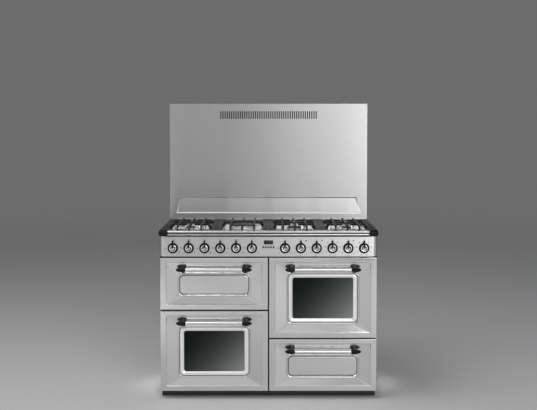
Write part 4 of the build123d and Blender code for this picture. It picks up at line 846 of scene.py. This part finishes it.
# Handles
# A polished steel bar between two black moulded ends shaped like bullets. Each end stands on
# the bevel of its front on a short post with a flared foot, and a steel ferrule meets the bar.
handle_steel = rolled_steel("handle_steel", (0.84, 0.84, 0.845, 1), (0.90, 0.90, 0.905, 1), 0.20, "X",
                            2600.0, 0.0)
end_radius, half_bar = 0.0125, 0.1415
for node, body in (("grill_door_handle", "grill_door"), ("main_door_handle", "main_door"),
                   ("second_door_handle", "second_door"), ("drawer_handle", "drawer")):
    low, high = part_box(node)
    middle = Vector(((low.x + high.x) / 2, low.y + end_radius, high.z - end_radius))
    rod = turned(node + "_bar", middle, (1, 0, 0), [
        (-0.1420, 0.0080), (-half_bar, 0.0085), (half_bar, 0.0085), (0.1420, 0.0080)])
    fit(rod, body, "polished_steel", handle_steel, node)
    for side, word in ((-1, "left"), (1, "right")):
        root = middle + Vector((side * half_bar, 0, 0))
        bullet = turned("bullet", root, (side, 0, 0), [
            (-0.0010, 0.0088), (0.0, 0.0095), (0.0030, 0.0100), (0.0090, 0.0112), (0.0140, 0.0121),
            (0.0180, end_radius), (0.0235, 0.0122), (0.0300, 0.0113), (0.0358, 0.0098), (0.0405, 0.0080),
            (0.0443, 0.0060), (0.0469, 0.0040), (0.0484, 0.0021), (0.0490, 0.0004)])
        post = turned("post", root + Vector((side * 0.017, 0, 0)), (0, 1, 0), [
            (0.0, 0.0100), (0.0215, 0.0098), (0.0240, 0.0102), (0.0280, 0.0116), (0.0310, 0.0132),
            (0.0330, 0.0140), (0.0360, 0.0140)])
        fit(joined(f"{node}_end_{word}", [bullet, post]), body, "black_plastic", moulded_black, node)
        ferrule = turned(f"{node}_ferrule_{word}", root, (side, 0, 0), [
            (-0.0042, 0.0086), (-0.0040, 0.0096), (-0.0034, 0.0100), (-0.0014, 0.0100), (-0.0006, 0.0094)])
        fit(ferrule, body, "polished_steel", handle_steel)


# Studio
# A plain pale floor that fades into the background, soft lights ahead, at the sides and overhead,
# and the camera a little lower than the top of the splashback, five metres in front of the doors.
pale = 0.15
bpy.ops.object.select_all(action="DESELECT")
bpy.ops.mesh.primitive_plane_add(size=400)
floor = bpy.context.object
floor.name = "studio_floor"
floor_paint, shader, place = finish("floor_paint", Roughness=0.6)
blended(cloud(place, 2), (0.66, 0.66, 0.66, 1), (0.70, 0.70, 0.70, 1)).into(shader, "Base Color")
far = place.node("ShaderNodeVectorMath", {"operation": "LENGTH"}, {0: place}, 1)
fade = far.node("ShaderNodeMapRange", {"interpolation_type": "SMOOTHSTEP"}, {
    "Value": far, "From Min": 4.0, "From Max": 11.0})
horizon = fade.node("ShaderNodeEmission", {}, {"Color": (pale, pale, pale, 1), "Strength": 1.0})
cover = fade.node("ShaderNodeMixShader", {}, {0: fade, 1: Tone(shader.outputs[0]), 2: horizon})
cover.into(floor_paint.node_tree.nodes["Material Output"], "Surface")
floor.data.materials.append(floor_paint)


def softbox(name, place, target, width, height, watts, spread=180):
    """A soft light at a place, turned to a target."""
    bpy.ops.object.light_add(type="AREA", location=place)
    lamp = bpy.context.object
    lamp.name = name
    lamp.data.shape, lamp.data.size, lamp.data.size_y = "RECTANGLE", width, height
    lamp.data.energy, lamp.data.spread = watts, radians(spread)
    lamp.rotation_euler = (Vector(target) - Vector(place)).to_track_quat("-Z", "Y").to_euler()


softbox("light_front", (1.6, -6.3, 3.1), (0, 0, 1.0), 3.2, 2.4, 76)
softbox("light_right", (2.1, -6.2, 1.45), (0.45, 0, 0.8), 2.0, 1.2, 44)
softbox("light_low", (-0.9, -6.3, 0.67), (0, 0, 0.6), 3.2, 1.3, 6.6)
softbox("light_side_left", (-3.3, -2.7, 1.4), (0, -0.2, 0.7), 4.2, 2.4, 22)
softbox("light_side_right", (3.3, -2.7, 1.4), (0, -0.2, 0.7), 4.2, 2.4, 17)
softbox("light_over_left", (-1.6, -1.0, 4.3), (-0.4, 0, 0.7), 2.4, 2.4, 64)
softbox("light_over_front", (0.0, -3.6, 4.4), (0, 0, 0.6), 4.0, 2.0, 26)
softbox("light_hob", (0.0, 0.02, 2.7), (0, 0.02, 0.85), 1.1, 0.2, 1.1, 12)
softbox("light_floor_left", (-1.5, -2.8, 3.0), (-1.5, -2.8, 0), 1.4, 2.2, 9, 40)

world = bpy.data.worlds.new("studio")
bpy.context.scene.world = world
world.use_nodes = True
background = world.node_tree.nodes["Background"]
background.inputs["Color"].default_value = (pale, pale, pale, 1)
background.inputs["Strength"].default_value = 1.0

bpy.ops.object.camera_add(location=(0.0, -5.4592, 1.4256), rotation=(pi / 2 - radians(3.0), 0, 0))
camera = bpy.context.object
sensor, focal_pixels, photo_pixels = 36.0, 1038.55, 537
camera.data.sensor_width = sensor
camera.data.lens = sensor * focal_pixels / photo_pixels
camera.data.shift_y = -0.064
camera.data.clip_end = 500
bpy.context.scene.camera = camera
bpy.context.scene.view_settings.view_transform = "Standard"
